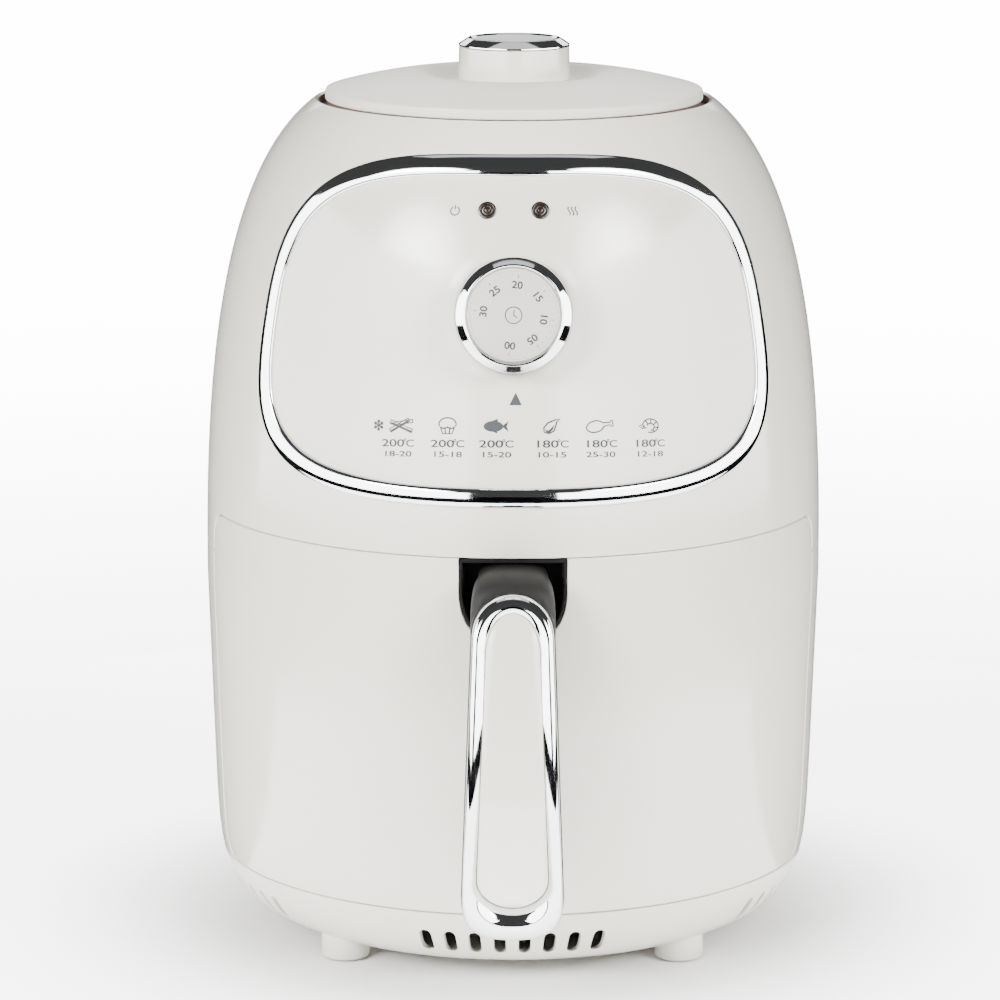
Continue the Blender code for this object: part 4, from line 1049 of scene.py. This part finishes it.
def make_chamber_liner():
    """Floor and bent wall of the cooking chamber, open above and in front."""
    wall = 0.001
    low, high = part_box("chamber_liner")
    front = low[1] - AXIS_Y
    inner = liner_outline(high[0] - wall, front)
    outer = liner_outline(high[0], front)
    bm = bmesh.new()
    edges = ((inner, low[2] + wall), (inner, high[2]), (outer, high[2]), (outer, low[2]))
    loops = [[bm.verts.new((x, y, z)) for x, y in outline] for outline, z in edges]
    for near, far in zip(loops, loops[1:]):
        for i in range(len(near) - 1):
            bm.faces.new((near[i], near[i + 1], far[i + 1], far[i]))
    bm.faces.new(loops[0])
    bm.faces.new(loops[-1])
    bm.faces.new([loop[0] for loop in reversed(loops)] + [loop[-1] for loop in loops])
    bmesh.ops.recalc_face_normals(bm, faces=bm.faces)
    mesh = mesh_from("chamber_liner_fine", bm)
    smooth(mesh)
    liner = new_object("chamber_liner_fine", mesh)
    install(liner, "housing", "aluminium_sheet", "aluminium", "chamber_liner")


# ------------------------------------------------------------------ handle
FRAME_DEPTH = 0.0070
INSERT_CROWN_DEPTH = 0.0010
SHELL_FRONT = 0.0072        # behind the grip's front, just behind the frame
SHELL_ZONE = (0.018, 0.029, 0.1440)     # half width, lower and upper end of the level front
VOXEL = 0.0005
NECK_ROUNDING = 0.62


def grip_front(z):
    """Distance of the grip's front face in front of the body axis, at height z."""
    return GRIP_FRONT_Y - GRIP_BOW * (z - GRIP_BOW_Z) ** 2


def grip_ring(top=GRIP_TOP, bottom=GRIP_BOTTOM, inset=0.0):
    """Outline of the grip as (x, z): a round arch above, a fuller rounded end below."""
    per_end, per_side = 56, 40
    points = []
    arches = []
    for (half, reach, centre, shape), sign in ((top, 1), (bottom, -1)):
        arch = []
        for i in range(per_end + 1):
            turn = pi * i / per_end
            arch.append((sign * (half - inset) * signed_power(cos(turn), 2 / shape),
                         centre + sign * (reach - inset) * signed_power(sin(turn), 2 / shape)))
        arches.append(arch)
    for arch, following in zip(arches, arches[::-1]):
        points += arch
        (x0, z0), (x1, z1) = arch[-1], following[0]
        for i in range(1, per_side):
            points.append((x0 + (x1 - x0) * i / per_side, z0 + (z1 - z0) * i / per_side))
    return points


def at_depth(outline, depth):
    return [(x, depth - grip_front(z), z) for x, z in outline]


def towards_spine(outline, share, low=GRIP_BOTTOM[2], high=GRIP_TOP[2]):
    """Outline shrunk towards the grip's middle line, which runs from height low to high."""
    result = []
    for x, z in outline:
        middle = min(high, max(low, z))
        result.append((x * share, middle + (z - middle) * share))
    return result


def window_drops():
    """How far the chrome slopes down to its window, at each point of the window's outline."""
    drops = []
    for (a, b), (c, d) in zip(grip_ring(), grip_ring(WINDOW_TOP, WINDOW_BOTTOM)):
        chin = min(max((WINDOW_BOTTOM[2] - d) / WINDOW_BOTTOM[1], 0.0), 1.0)
        drops.append((0.30 + 0.16 * chin ** 1.5) * hypot(c - a, d - b))
    return drops


def make_handle_frame():
    """Chrome frame of the grip: a bead that rounds off outwards and slopes towards its window."""
    outer = grip_ring()
    window = grip_ring(WINDOW_TOP, WINDOW_BOTTOM)
    slopes = window_drops()
    crest = 0.38
    section = [(0.0, FRAME_DEPTH, 0.0), (0.0, 0.0050, 0.0)]
    for i in range(15):
        turn = pi / 2 * i / 14
        section.append((crest * (1 - cos(turn)), 0.0030 * (1 - sin(turn)), 0.0))
    section += [(crest + (1 - crest) * i / 14, 0.0, (i / 14) ** 2) for i in range(1, 15)]
    section += [(1.0, FRAME_DEPTH, 0.0)]
    rings = []
    for across, depth, share in section:
        ring = []
        for (a, b), (c, d), slope in zip(outer, window, slopes):
            z = b + (d - b) * across
            ring.append((a + (c - a) * across, max(depth + slope * share, 0.0) - grip_front(z), z))
        rings.append(ring)
    bead = lofted("handle_frame_fine", rings, joined=True, caps=False)
    install(bead, "drawer", "chrome_trim", "chrome", "handle_frame")


def make_handle_insert():
    """White inlay of the grip, softly crowned, set a little below the chrome."""
    edge = grip_ring(WINDOW_TOP, WINDOW_BOTTOM, 0.0002)
    spine = (WINDOW_BOTTOM[2], WINDOW_TOP[2])
    rings = [at_depth(towards_spine(edge, share, *spine), 0.0066) for share in spread(0.0, 1.0, 6)]
    drops = [drop + 0.0001 for drop in window_drops()]
    rings.append([(x, drop + 0.0003 - grip_front(z), z) for (x, z), drop in zip(edge, drops)])
    for share in spread(0.0, 1.0, 24):
        inner = 1 - share
        crown = []
        for (x, z), drop in zip(towards_spine(edge, inner, *spine), drops):
            depth = INSERT_CROWN_DEPTH + (drop - INSERT_CROWN_DEPTH) * inner ** 6
            crown.append((x, depth - grip_front(z), z))
        rings.append(crown)
    inlay = lofted("handle_insert_fine", rings, caps=False)
    install(inlay, "drawer", "body_white", "white_gloss", "handle_insert")


# stations along the neck: upper and lower point as (forward, height), and half width
NECK = (
    ((0.0939, 0.1490), (0.0939, 0.1338), 0.0115),
    ((0.1080, 0.1490), (0.1060, 0.1336), 0.0122),
    ((0.1140, 0.1487), (0.1110, 0.1322), 0.0131),
    ((0.1190, 0.1475), (0.1146, 0.1298), 0.0136),
    ((0.1225, 0.1450), (0.1172, 0.1268), 0.0139),
    ((0.1252, 0.1395), (0.1192, 0.1235), 0.0140),
    ((0.1279, 0.1315), (0.1212, 0.1190), 0.0138),
    ((0.1292, 0.1240), (0.1240, 0.1140), 0.0130),
)


def neck_ring(upper, lower, half_width):
    """Rounded section between an upper and a lower point, each given as (forward, height)."""
    count = 96
    middle = [(a + b) / 2 for a, b in zip(upper, lower)]
    reach = [(a - b) / 2 for a, b in zip(upper, lower)]
    ring = []
    for i in range(count):
        turn = tau * i / count
        along = signed_power(sin(turn), NECK_ROUNDING)
        ring.append((half_width * signed_power(cos(turn), NECK_ROUNDING),
                     -(middle[0] + reach[0] * along), middle[1] + reach[1] * along))
    return ring


def between(stations, share):
    """Smooth curve through equally spaced rows of numbers, at share 0 to 1."""
    place = share * (len(stations) - 1)
    i = min(int(place), len(stations) - 2)
    t = place - i
    rows = [stations[min(max(i + k, 0), len(stations) - 1)] for k in (-1, 0, 1, 2)]
    result = []
    for a, b, c, d in zip(*rows):
        result.append(b + t * (c - a) / 2 + t * t * (a - 2.5 * b + 2 * c - d / 2)
                      + t ** 3 * (-a / 2 + 1.5 * b - 1.5 * c + d / 2))
    return result


def make_handle_body():
    """Rear shell of the grip and its neck, blended into one soft-edged moulding."""
    edge = grip_ring(inset=-0.0004)
    rings = [at_depth(towards_spine(edge, share), 0.0073) for share in spread(0.0, 1.0, 5)]
    for i in range(9):
        turn = pi / 2 * i / 8
        outline = towards_spine(edge, 1 - 0.26 * (1 - cos(turn)))
        rings.append(at_depth(outline, 0.0112 + 0.0038 * sin(turn)))
    for share in spread(0.74, 0.0, 5)[1:]:
        rings.append(at_depth(towards_spine(edge, share), 0.0150))
    shell = lofted("handle_shell", rings, caps=False)
    stations = [(*upper, *lower, half) for upper, lower, half in NECK]
    sections = []
    for i in range(50):
        a, b, c, d, half = between(stations, i / 49)
        sections.append(neck_ring((a, b), (c, d), half))
    body = joined_objects("handle_body_fine", [shell, lofted("neck", sections)])
    remesh = body.modifiers.new("blend", 'REMESH')
    remesh.mode = 'VOXEL'
    remesh.voxel_size = VOXEL
    relax = body.modifiers.new("relax", 'SMOOTH')
    relax.factor = 0.5
    relax.iterations = 8
    baked(body)
    clear_of_frame(body)
    body.data.shade_smooth()
    install(body, "drawer", "handle_grey", "grey_plastic", "handle_body")


def clear_of_frame(body):
    """Keep the front of the shell level, just behind the chrome frame."""
    half, low, high = SHELL_ZONE
    for vert in body.data.vertices:
        limit = SHELL_FRONT - grip_front(vert.co.z)
        inside = abs(vert.co.x) < half and low < vert.co.z < high
        if inside and vert.co.y < limit:
            vert.co.y = limit


# ------------------------------------------------------------------- print
MM = 0.001
ROW_DROP = 0.016            # how far a printed row sinks by a quarter turn to the side
STROKE_WEIGHT = 1.3
ICON_SCALE = 1.25
FLAT = 0.0001               # depth of a flat drawing before it is laid on the skin
PRINT_LIFT = 0.00002
ICON_Z, HEAT_Z, DEGREE_Z, MINUTES_Z, POINTER_Z = 0.1956, 0.1897, 0.1909, 0.1862, 0.2046
LAMP_MARK_ANGLE = 12.5
DIAL_NUMBER_R = 0.0098
TICK_RADIUS = 0.0132


def flat_to_skin(obj, angle, z):
    """Lay a flat drawing, made in X and Y, on the skin about an angle and height.

    Towards the sides it drops a little, so that a row looks level from the front.
    """
    for vert in obj.data.vertices:
        turn = angle + vert.co.x / float(skin_radius(z))
        height = z + vert.co.y * cos(float(skin_lean(z))) - ROW_DROP * (1 - cos(turn))
        out = PRINT_LIFT + 0.00006 * (0.5 + vert.co.z)
        vert.co = skin_point(angle + vert.co.x / float(skin_radius(height)), height, out)


def drawing_mesh(curve, thickness):
    """Mesh of a curve whose depth runs from -0.5 to 0.5."""
    source = bpy.data.objects.new("drawing", curve)
    bpy.context.scene.collection.objects.link(source)
    depsgraph = bpy.context.evaluated_depsgraph_get()
    mesh = bpy.data.meshes.new_from_object(source.evaluated_get(depsgraph))
    bpy.data.objects.remove(source, do_unlink=True)
    for vert in mesh.vertices:
        vert.co.z /= thickness
    mesh.materials.clear()
    return mesh


def number(text, size, wide=1.0, bold=0.0):
    """Characters as a thin flat mesh, centred on the origin, stretched by wide."""
    curve = bpy.data.curves.new("number", 'FONT')
    curve.body = text
    curve.size = size
    curve.align_x = 'CENTER'
    curve.align_y = 'CENTER'
    curve.extrude = FLAT / 2
    curve.offset = bold
    mesh = drawing_mesh(curve, FLAT)
    mesh.transform(Matrix.Diagonal((wide, 1, 1, 1)))
    return mesh


def add_line(curve, points, closed):
    spline = curve.splines.new('POLY')
    spline.points.add(len(points) - 1)
    for point, (x, y) in zip(spline.points, points):
        point.co = (x, y, 0, 1)
    spline.use_cyclic_u = closed


def strokes(lines, width):
    """Pen strokes as a thin flat mesh; a line whose ends meet is closed."""
    curve = bpy.data.curves.new("strokes", 'CURVE')
    curve.dimensions = '3D'
    curve.bevel_depth = width / 2 * STROKE_WEIGHT
    curve.bevel_resolution = 1
    curve.use_fill_caps = True
    for line in lines:
        closed = Vector(line[0]) == Vector(line[-1]) and len(line) > 2
        add_line(curve, line[:-1] if closed else line, closed)
    return drawing_mesh(curve, width * STROKE_WEIGHT)


def filled(outline):
    """A filled flat shape as a thin mesh."""
    curve = bpy.data.curves.new("filled", 'CURVE')
    curve.dimensions = '2D'
    curve.fill_mode = 'BOTH'
    curve.extrude = FLAT / 2
    add_line(curve, outline, True)
    return drawing_mesh(curve, FLAT)


def oval(x, y, wide, tall, start=0, end=360, tilt=0, count=28):
    """Points of an ellipse or of part of one; angles in degrees."""
    points = []
    for i in range(count + 1):
        turn = radians(start + (end - start) * i / count)
        u, v = wide * cos(turn), tall * sin(turn)
        points.append((x + u * cos(radians(tilt)) - v * sin(radians(tilt)),
                       y + u * sin(radians(tilt)) + v * cos(radians(tilt))))
    return points


def bar(x, y, length, width, tilt):
    """Closed outline of a slanted bar."""
    corners = ((-1, -1), (1, -1), (1, 1), (-1, 1), (-1, -1))
    turn = radians(tilt)
    return [(x + a * length / 2 * cos(turn) - b * width / 2 * sin(turn),
             y + a * length / 2 * sin(turn) + b * width / 2 * cos(turn)) for a, b in corners]


def scaled(lines):
    return [[(x * MM, y * MM) for x, y in line] for line in lines]


def draw_sticks():
    flake, tips = [], []
    for a in map(radians, (30, 90, 150)):
        flake.append([(-5.6 + 1.5 * cos(a), 1.5 * sin(a)), (-5.6 - 1.5 * cos(a), -1.5 * sin(a))])
    for a in map(radians, range(30, 390, 60)):
        tips.append(oval(-5.6 + 1.05 * cos(a), 1.05 * sin(a), 0.3, 0.3, count=6))
    sticks = [bar(0.9, -0.2, 6.6, 0.95, -22), bar(0.4, 0.1, 6.0, 0.95, 30),
              bar(1.6, 0.9, 5.0, 0.8, 8)]
    shades = [bar(0.9, -0.4, 6.2, 0.45, -22)[:-1], bar(0.4, -0.1, 5.6, 0.45, 30)[:-1]]
    return [strokes(scaled(flake + tips + sticks), 0.00030), *map(filled, scaled(shades))]


def draw_cake():
    dome = oval(0, 0.5, 2.3, 1.7, -20, 200)
    cup = [(-1.9, -0.1), (-1.3, -2.0), (1.3, -2.0), (1.9, -0.1)]
    folds = [[(-0.7, -0.3), (-0.5, -2.0)], [(0.7, -0.3), (0.5, -2.0)]]
    puffs = [oval(side * 0.95, -0.1, 0.95, 0.5, 180, 360, count=10) for side in (-1, 1)]
    return [strokes(scaled([dome, cup] + folds + puffs), 0.00028)]


def draw_fish():
    body = oval(-0.7, 0, 2.6, 1.45)
    tail = [(1.5, 0.0), (3.3, 1.45), (2.8, 0.0), (3.3, -1.45)]
    fins = [[(-1.4, 1.3), (0.4, 2.0), (0.5, 1.2)], [(-1.0, -1.3), (0.3, -1.95), (0.3, -1.2)]]
    return [filled(shape) for shape in scaled([body[:-1], tail, *fins])]


def draw_cutlet():
    drop = [(2.4, 2.0), (1.0, 1.7), (-0.9, 0.9), (-2.0, -0.4), (-1.9, -1.5), (-0.6, -1.9),
            (0.7, -1.2), (1.2, 0.2), (1.5, 1.2), (2.4, 2.0)]
    fat = [(-1.7, -0.6), (-1.3, -1.6), (-0.5, -1.7), (0.4, -0.9), (0.9, 0.5), (-0.2, -0.6),
           (-0.9, -1.1)]
    return [strokes(scaled([drop]), 0.00032), filled(scaled([fat])[0])]


def draw_drumstick():
    meat = oval(-1.4, -0.1, 2.4, 1.5, 20, 340, 12)
    bone = [(0.6, 0.9), (2.6, 1.0), (3.0, 1.6), (3.5, 1.3), (3.3, 0.7), (3.6, 0.1), (3.0, -0.1),
            (2.7, 0.4), (0.8, -0.1)]
    return [strokes(scaled([meat, bone]), 0.00028)]


def draw_prawn():
    back = oval(0.5, 0, 2.3, 1.8, -110, 170)
    belly = oval(0.5, -0.3, 1.1, 0.9, -90, 160)
    ribs = [[(0.5 + 1.15 * cos(a), -0.2 + 0.95 * sin(a)), (0.5 + 2.3 * cos(a), 1.8 * sin(a))]
            for a in map(radians, (-60, -15, 35, 85, 130))]
    head = [(-1.8, 0.3), (-2.9, -0.1), (-1.9, -0.7), (-0.6, -0.5)]
    eye = oval(-1.5, -0.1, 0.18, 0.18, count=8)
    return [strokes(scaled([back, belly, head] + ribs + [eye]), 0.00028)]


def draw_power():
    return [strokes(scaled([oval(0, 0, 1.45, 1.45, 120, 420), [(0, 0.5), (0, 1.9)]]), 0.00034)]


def draw_heat():
    waves = []
    for x in (-1.2, 0.0, 1.2):
        waves.append([(x + 0.34 * sin(tau * i / 12), -1.5 + 3.0 * i / 12) for i in range(13)])
    return [strokes(scaled(waves), 0.00034)]


def laid(meshes, angle, z, shift=(0, 0)):
    """Objects for drawings that are laid on the skin."""
    objects = []
    for mesh in meshes:
        mesh.transform(Matrix.Translation((*shift, 0)))
        obj = new_object("print", mesh)
        flat_to_skin(obj, angle, z)
        objects.append(obj)
    return objects


def make_panel_print():
    """Guide to foods, temperatures and minutes, the pointer, and the two lamp marks."""
    guide = (
        (draw_sticks, -21.2, "200", "18-20"), (draw_cake, -11.9, "200", "15-18"),
        (draw_fish, -3.1, "200", "15-20"), (draw_cutlet, 6.8, "180", "10-15"),
        (draw_drumstick, 15.8, "180", "25-30"), (draw_prawn, 25.15, "180", "12-18"),
    )
    larger = Matrix.Scale(ICON_SCALE, 4)
    printed = []
    for draw, angle, heat, minutes in guide:
        turn = radians(angle)
        icons = draw()
        for mesh in icons:
            mesh.transform(larger)
        printed += laid(icons, turn, ICON_Z)
        printed += laid([number(heat, 0.0034, 1.6, 0.00006)], turn, HEAT_Z, (-0.0016, 0))
        degree = strokes([oval(0, 0, 0.00038, 0.00038, count=10)], 0.00022)
        printed += laid([degree], turn, DEGREE_Z, (0.0026, 0))
        printed += laid([number("C", 0.0033, 1.3, 0.00005)], turn, HEAT_Z, (0.0044, 0))
        printed += laid([number(minutes, 0.0026, 1.7, 0.00004)], turn, MINUTES_Z)
    pointer = filled([(-0.0021, -0.0021), (0.0021, -0.0021), (0, 0.0021)])
    printed += laid([pointer], radians(0.4), POINTER_Z)
    printed += laid(draw_power(), radians(-LAMP_MARK_ANGLE), LENS_Z)
    printed += laid(draw_heat(), radians(LAMP_MARK_ANGLE), LENS_Z)
    sheet = joined_objects("panel_print", printed)
    install(sheet, "housing", "indicator_lens", "print_grey")


def make_dial_print():
    """Minute numbers and ticks on the dial, reading outwards, and a clock mark in the middle."""
    pieces = []
    for i in range(7):
        clock = radians(180 - 45 * i)
        mesh = number("%02d" % (5 * i), 0.0033, 1.1, 0.00009)
        outwards = Matrix.Translation((0, DIAL_NUMBER_R, 0))
        mesh.transform(Matrix.Rotation(-clock, 4, 'Z') @ outwards)
        pieces.append(mesh)
    ticks = []
    for minute in range(31):
        clock = radians(180 - 9 * minute)
        inner = TICK_RADIUS - (0.0010 if minute % 5 == 0 else 0.00025)
        ticks.append([(reach * sin(clock), reach * cos(clock)) for reach in (TICK_RADIUS, inner)])
    pieces.append(strokes(ticks, 0.00016))
    face = oval(0, 0, 2.7, 2.7, count=32)
    hands = [[(0, 1.8), (0, 0), (1.3, -0.7)]]
    pieces.append(strokes(scaled([face] + hands), 0.00026))
    at_rest = TIMER_FRAME @ Matrix.Rotation(DIAL_TURN, 4, 'Z')
    objects = []
    for mesh in pieces:
        for vert in mesh.vertices:
            vert.co.z = DIAL_TOP + PRINT_LIFT + 0.00004 * (0.5 + vert.co.z)
        objects.append(new_object("print", mesh, at_rest))
    install(joined_objects("dial_print", objects), "timer_dial", "indicator_lens", "print_light")


# --------------------------------------------------------- carried-over nodes
CARRIED = {
    "steel": ("timer_shaft", "timer_case", "thermostat_shaft", "thermostat_bracket",
              "handle_screw_left", "handle_screw_right", "left_rail", "right_rail", "heat_shield",
              "heater_guard", "hot_air_impeller", "impeller_nut", "motor_rotor", "motor_core",
              "lower_bearing_bridge", "upper_bearing_bridge", "motor_bracket"),
    "aluminium": ("thermostat", "air_reflector"),
    "black_plastic": ("pan_bracket", "cooling_fan", "door_switch"),
    "white_matte": ("base_plate",),
    "brass": ("timer_bell",),
    "copper": ("motor_coil",),
    "heater": ("heater_element",),
}


def dress_nodes():
    for look, names in CARRIED.items():
        for name in names:
            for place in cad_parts[name].material_slots:
                place.link = 'OBJECT'
                place.material = LOOKS[look]


# ------------------------------------------------------------ floor and light
TABLE_RADIUS = 0.42         # how far the bright table reaches, out of the camera's sight
CARD_GLOW = 9.0
CARD_BENDS = ((0.38, -1.40), (1.02, -0.60), (1.10, 0.0), (1.04, 0.30))     # right side, (x, y)
CARD_Z = (0.0, 0.72)
GLOW_NEAR = (0.075, 0.0)    # distance from the body axis and glow of the light table there: none, a painted shadow under the object
GLOW_MIDDLE = (0.20, 5.0)
GLOW_FAR = (1.50, 15.0)
FLOOR_RADIUS = 30
BACKDROP_RADIUS = 12
SHADE_RADIUS = 0.13         # behind the body, how near to it the dark reflections begin


def glowing(name, tone, glow):
    """Grey material that gives off white light."""
    material, shader = new_material(name)
    set_inputs(shader, Base_Color=(tone, tone, tone, 1), Emission_Color=(1, 1, 1, 1),
               Emission_Strength=glow)
    return material


def stage_piece(name, bm, material):
    """Put a piece of the studio on the stage; it is no part of the object."""
    mesh = mesh_from(name, bm)
    mesh.materials.append(material)
    obj = bpy.data.objects.new(name, mesh)
    bpy.context.scene.collection.objects.link(obj)
    return obj


def circle(radius, middle_y=AXIS_Y):
    turns = [tau * i / 128 for i in range(128)]
    return [(radius * cos(turn), middle_y + radius * sin(turn)) for turn in turns]


def disc(name, z, material, hole=()):
    """Wide round sheet at height z; hole is the outline of an opening, with as many points."""
    bm = bmesh.new()
    rim = [bm.verts.new((x, y, z)) for x, y in circle(FLOOR_RADIUS, 0)]
    if hole:
        edge = [bm.verts.new((x, y, z)) for x, y in hole]
        for i in range(len(rim)):
            j = (i + 1) % len(rim)
            bm.faces.new((edge[i], rim[i], rim[j], edge[j]))
    else:
        bm.faces.new(rim)
    return stage_piece(name, bm, material)


def make_floor():
    """Pale light table: it glows, dimmer towards the object and not at all close under it, so that
    the missing glow paints a shadow there besides the one the lamps cast.
    """
    material, shader = new_material("floor")
    set_inputs(shader, Base_Color=(0.90, 0.90, 0.90, 1), Roughness=0.9, Specular_IOR_Level=0.2,
               Emission_Color=(1, 1, 1, 1))
    tree = material.node_tree
    place = tree.nodes.new("ShaderNodeNewGeometry").outputs["Position"]
    reach = tree.nodes.new("ShaderNodeVectorMath")
    reach.operation = 'DISTANCE'
    reach.inputs[1].default_value = (0, AXIS_Y, 0)
    tree.links.new(place, reach.inputs[0])
    near = smooth_step(tree, reach.outputs["Value"], GLOW_NEAR, GLOW_MIDDLE)
    far = smooth_step(tree, reach.outputs["Value"], (GLOW_MIDDLE[0], 0.0),
                      (GLOW_FAR[0], GLOW_FAR[1] - GLOW_MIDDLE[1]))
    glow = tree.nodes.new("ShaderNodeMath")
    glow.operation = 'ADD'
    tree.links.new(near, glow.inputs[0])
    tree.links.new(far, glow.inputs[1])
    tree.links.new(glow.outputs["Value"], shader.inputs["Emission Strength"])
    disc("floor", 0.0, material)


def smooth_step(tree, value, start, end):
    step = tree.nodes.new("ShaderNodeMapRange")
    step.interpolation_type = 'SMOOTHSTEP'
    (low, low_glow), (high, high_glow) = start, end
    set_inputs(step, From_Min=low, From_Max=high, To_Min=low_glow, To_Max=high_glow)
    tree.links.new(value, step.inputs["Value"])
    return step.outputs["Result"]


def make_dark_surround():
    """The dark studio beyond the table, out of the camera's sight, and the table's shaded rear."""
    material, shader = new_material("dark_surround")
    set_inputs(shader, Base_Color=(0.005, 0.005, 0.005, 1), Specular_IOR_Level=0.0)
    surround = disc("dark_surround", 0.0005, material, circle(TABLE_RADIUS))
    only_in_reflections(surround)
    surround.visible_diffuse = True
    only_in_reflections(level_band("rear_shade", *rear_shade_edges(), 0.0006, material))


def rear_shade_edges():
    """Edges of a half ring behind the body, from the table's edge to close by."""
    turns = [pi * i / 64 for i in range(65)]
    return [[(radius * cos(turn), AXIS_Y + radius * sin(turn)) for turn in turns]
            for radius in (TABLE_RADIUS + 0.01, SHADE_RADIUS)]


def level_band(name, outer, inner, z, material):
    """Level sheet between two edges of equally many points."""
    bm = bmesh.new()
    outer, inner = [[bm.verts.new((x, y, z)) for x, y in edge] for edge in (outer, inner)]
    for i in range(len(outer) - 1):
        bm.faces.new((outer[i], outer[i + 1], inner[i + 1], inner[i]))
    return stage_piece(name, bm, material)


def only_in_reflections(obj):
    obj.visible_camera = False
    obj.visible_diffuse = False
    obj.visible_shadow = False
    obj.visible_transmission = False


def make_side_cards():
    """Bright cards at both sides, which only show in the chrome and the gloss."""
    material = glowing("side_card", 0.9, CARD_GLOW)
    for name, side in (("left_card", -1), ("right_card", 1)):
        bm = bmesh.new()
        posts = [[bm.verts.new((side * x, y, z)) for z in CARD_Z] for x, y in CARD_BENDS]
        for (a, b), (c, d) in zip(posts, posts[1:]):
            bm.faces.new((a, c, d, b))
        only_in_reflections(stage_piece(name, bm, material))


def make_backdrop():
    """Pale wall far behind everything, as bright as the floor there, which only the camera sees."""
    bm = bmesh.new()
    outline = circle(BACKDROP_RADIUS)
    low, high = [[bm.verts.new((x, y, z)) for x, y in outline] for z in (0, BACKDROP_RADIUS)]
    for i in range(len(low)):
        bm.faces.new((low[i - 1], low[i], high[i], high[i - 1]))
    wall = stage_piece("backdrop", bm, glowing("backdrop", 0.9, GLOW_FAR[1]))
    only_in_reflections(wall)
    wall.visible_glossy = False
    wall.visible_camera = True


def softbox(name, place, size, power, target=(0, 0, 0.17), spread_angle=180):
    data = bpy.data.lights.new(name, 'AREA')
    data.shape = 'RECTANGLE'
    data.size, data.size_y = size
    data.energy = power
    data.spread = radians(spread_angle)
    light = bpy.data.objects.new(name, data)
    light.location = place
    aim = Vector(target) - Vector(place)
    light.rotation_euler = aim.to_track_quat('-Z', 'Y').to_euler()
    light.visible_camera = False
    bpy.context.scene.collection.objects.link(light)


def make_lights():
    softbox("left_box", (-1.05, -1.15, 0.98), (1.20, 0.85), 10.5, (0, 0, 0.40), 42)
    softbox("right_box", (1.10, -1.05, 1.00), (1.15, 0.80), 7.5, (0, 0, 0.40), 42)
    softbox("top_box", (0, 0.3, 1.9), (1.4, 0.7), 3)
    softbox("rear_box", (0.0, 1.8, 1.0), (1.6, 0.6), 10)
    world = bpy.data.worlds.new("studio")
    world.use_nodes = True
    set_inputs(world.node_tree.nodes["Background"], Color=(1, 1, 1, 1), Strength=0.06)
    bpy.context.scene.world = world


# -------------------------------------------------------------------- build
make_upper_housing()
make_lower_housing()
make_outlet_grille()
make_feet()
make_cord_gland()
make_control_panel()
make_trim_ring()
make_lenses()
make_timer()
make_timer_surround()
make_top_cover()
make_temperature_knob()
make_drawer_front()
make_drawer_inner_panel()
make_handle_socket()
make_pan()
make_crisper_plate()
make_bumpers()
make_chamber_liner()
make_handle_frame()
make_handle_insert()
make_handle_body()
make_panel_print()
make_dial_print()
dress_nodes()
make_floor()
make_dark_surround()
make_side_cards()
make_backdrop()
make_lights()
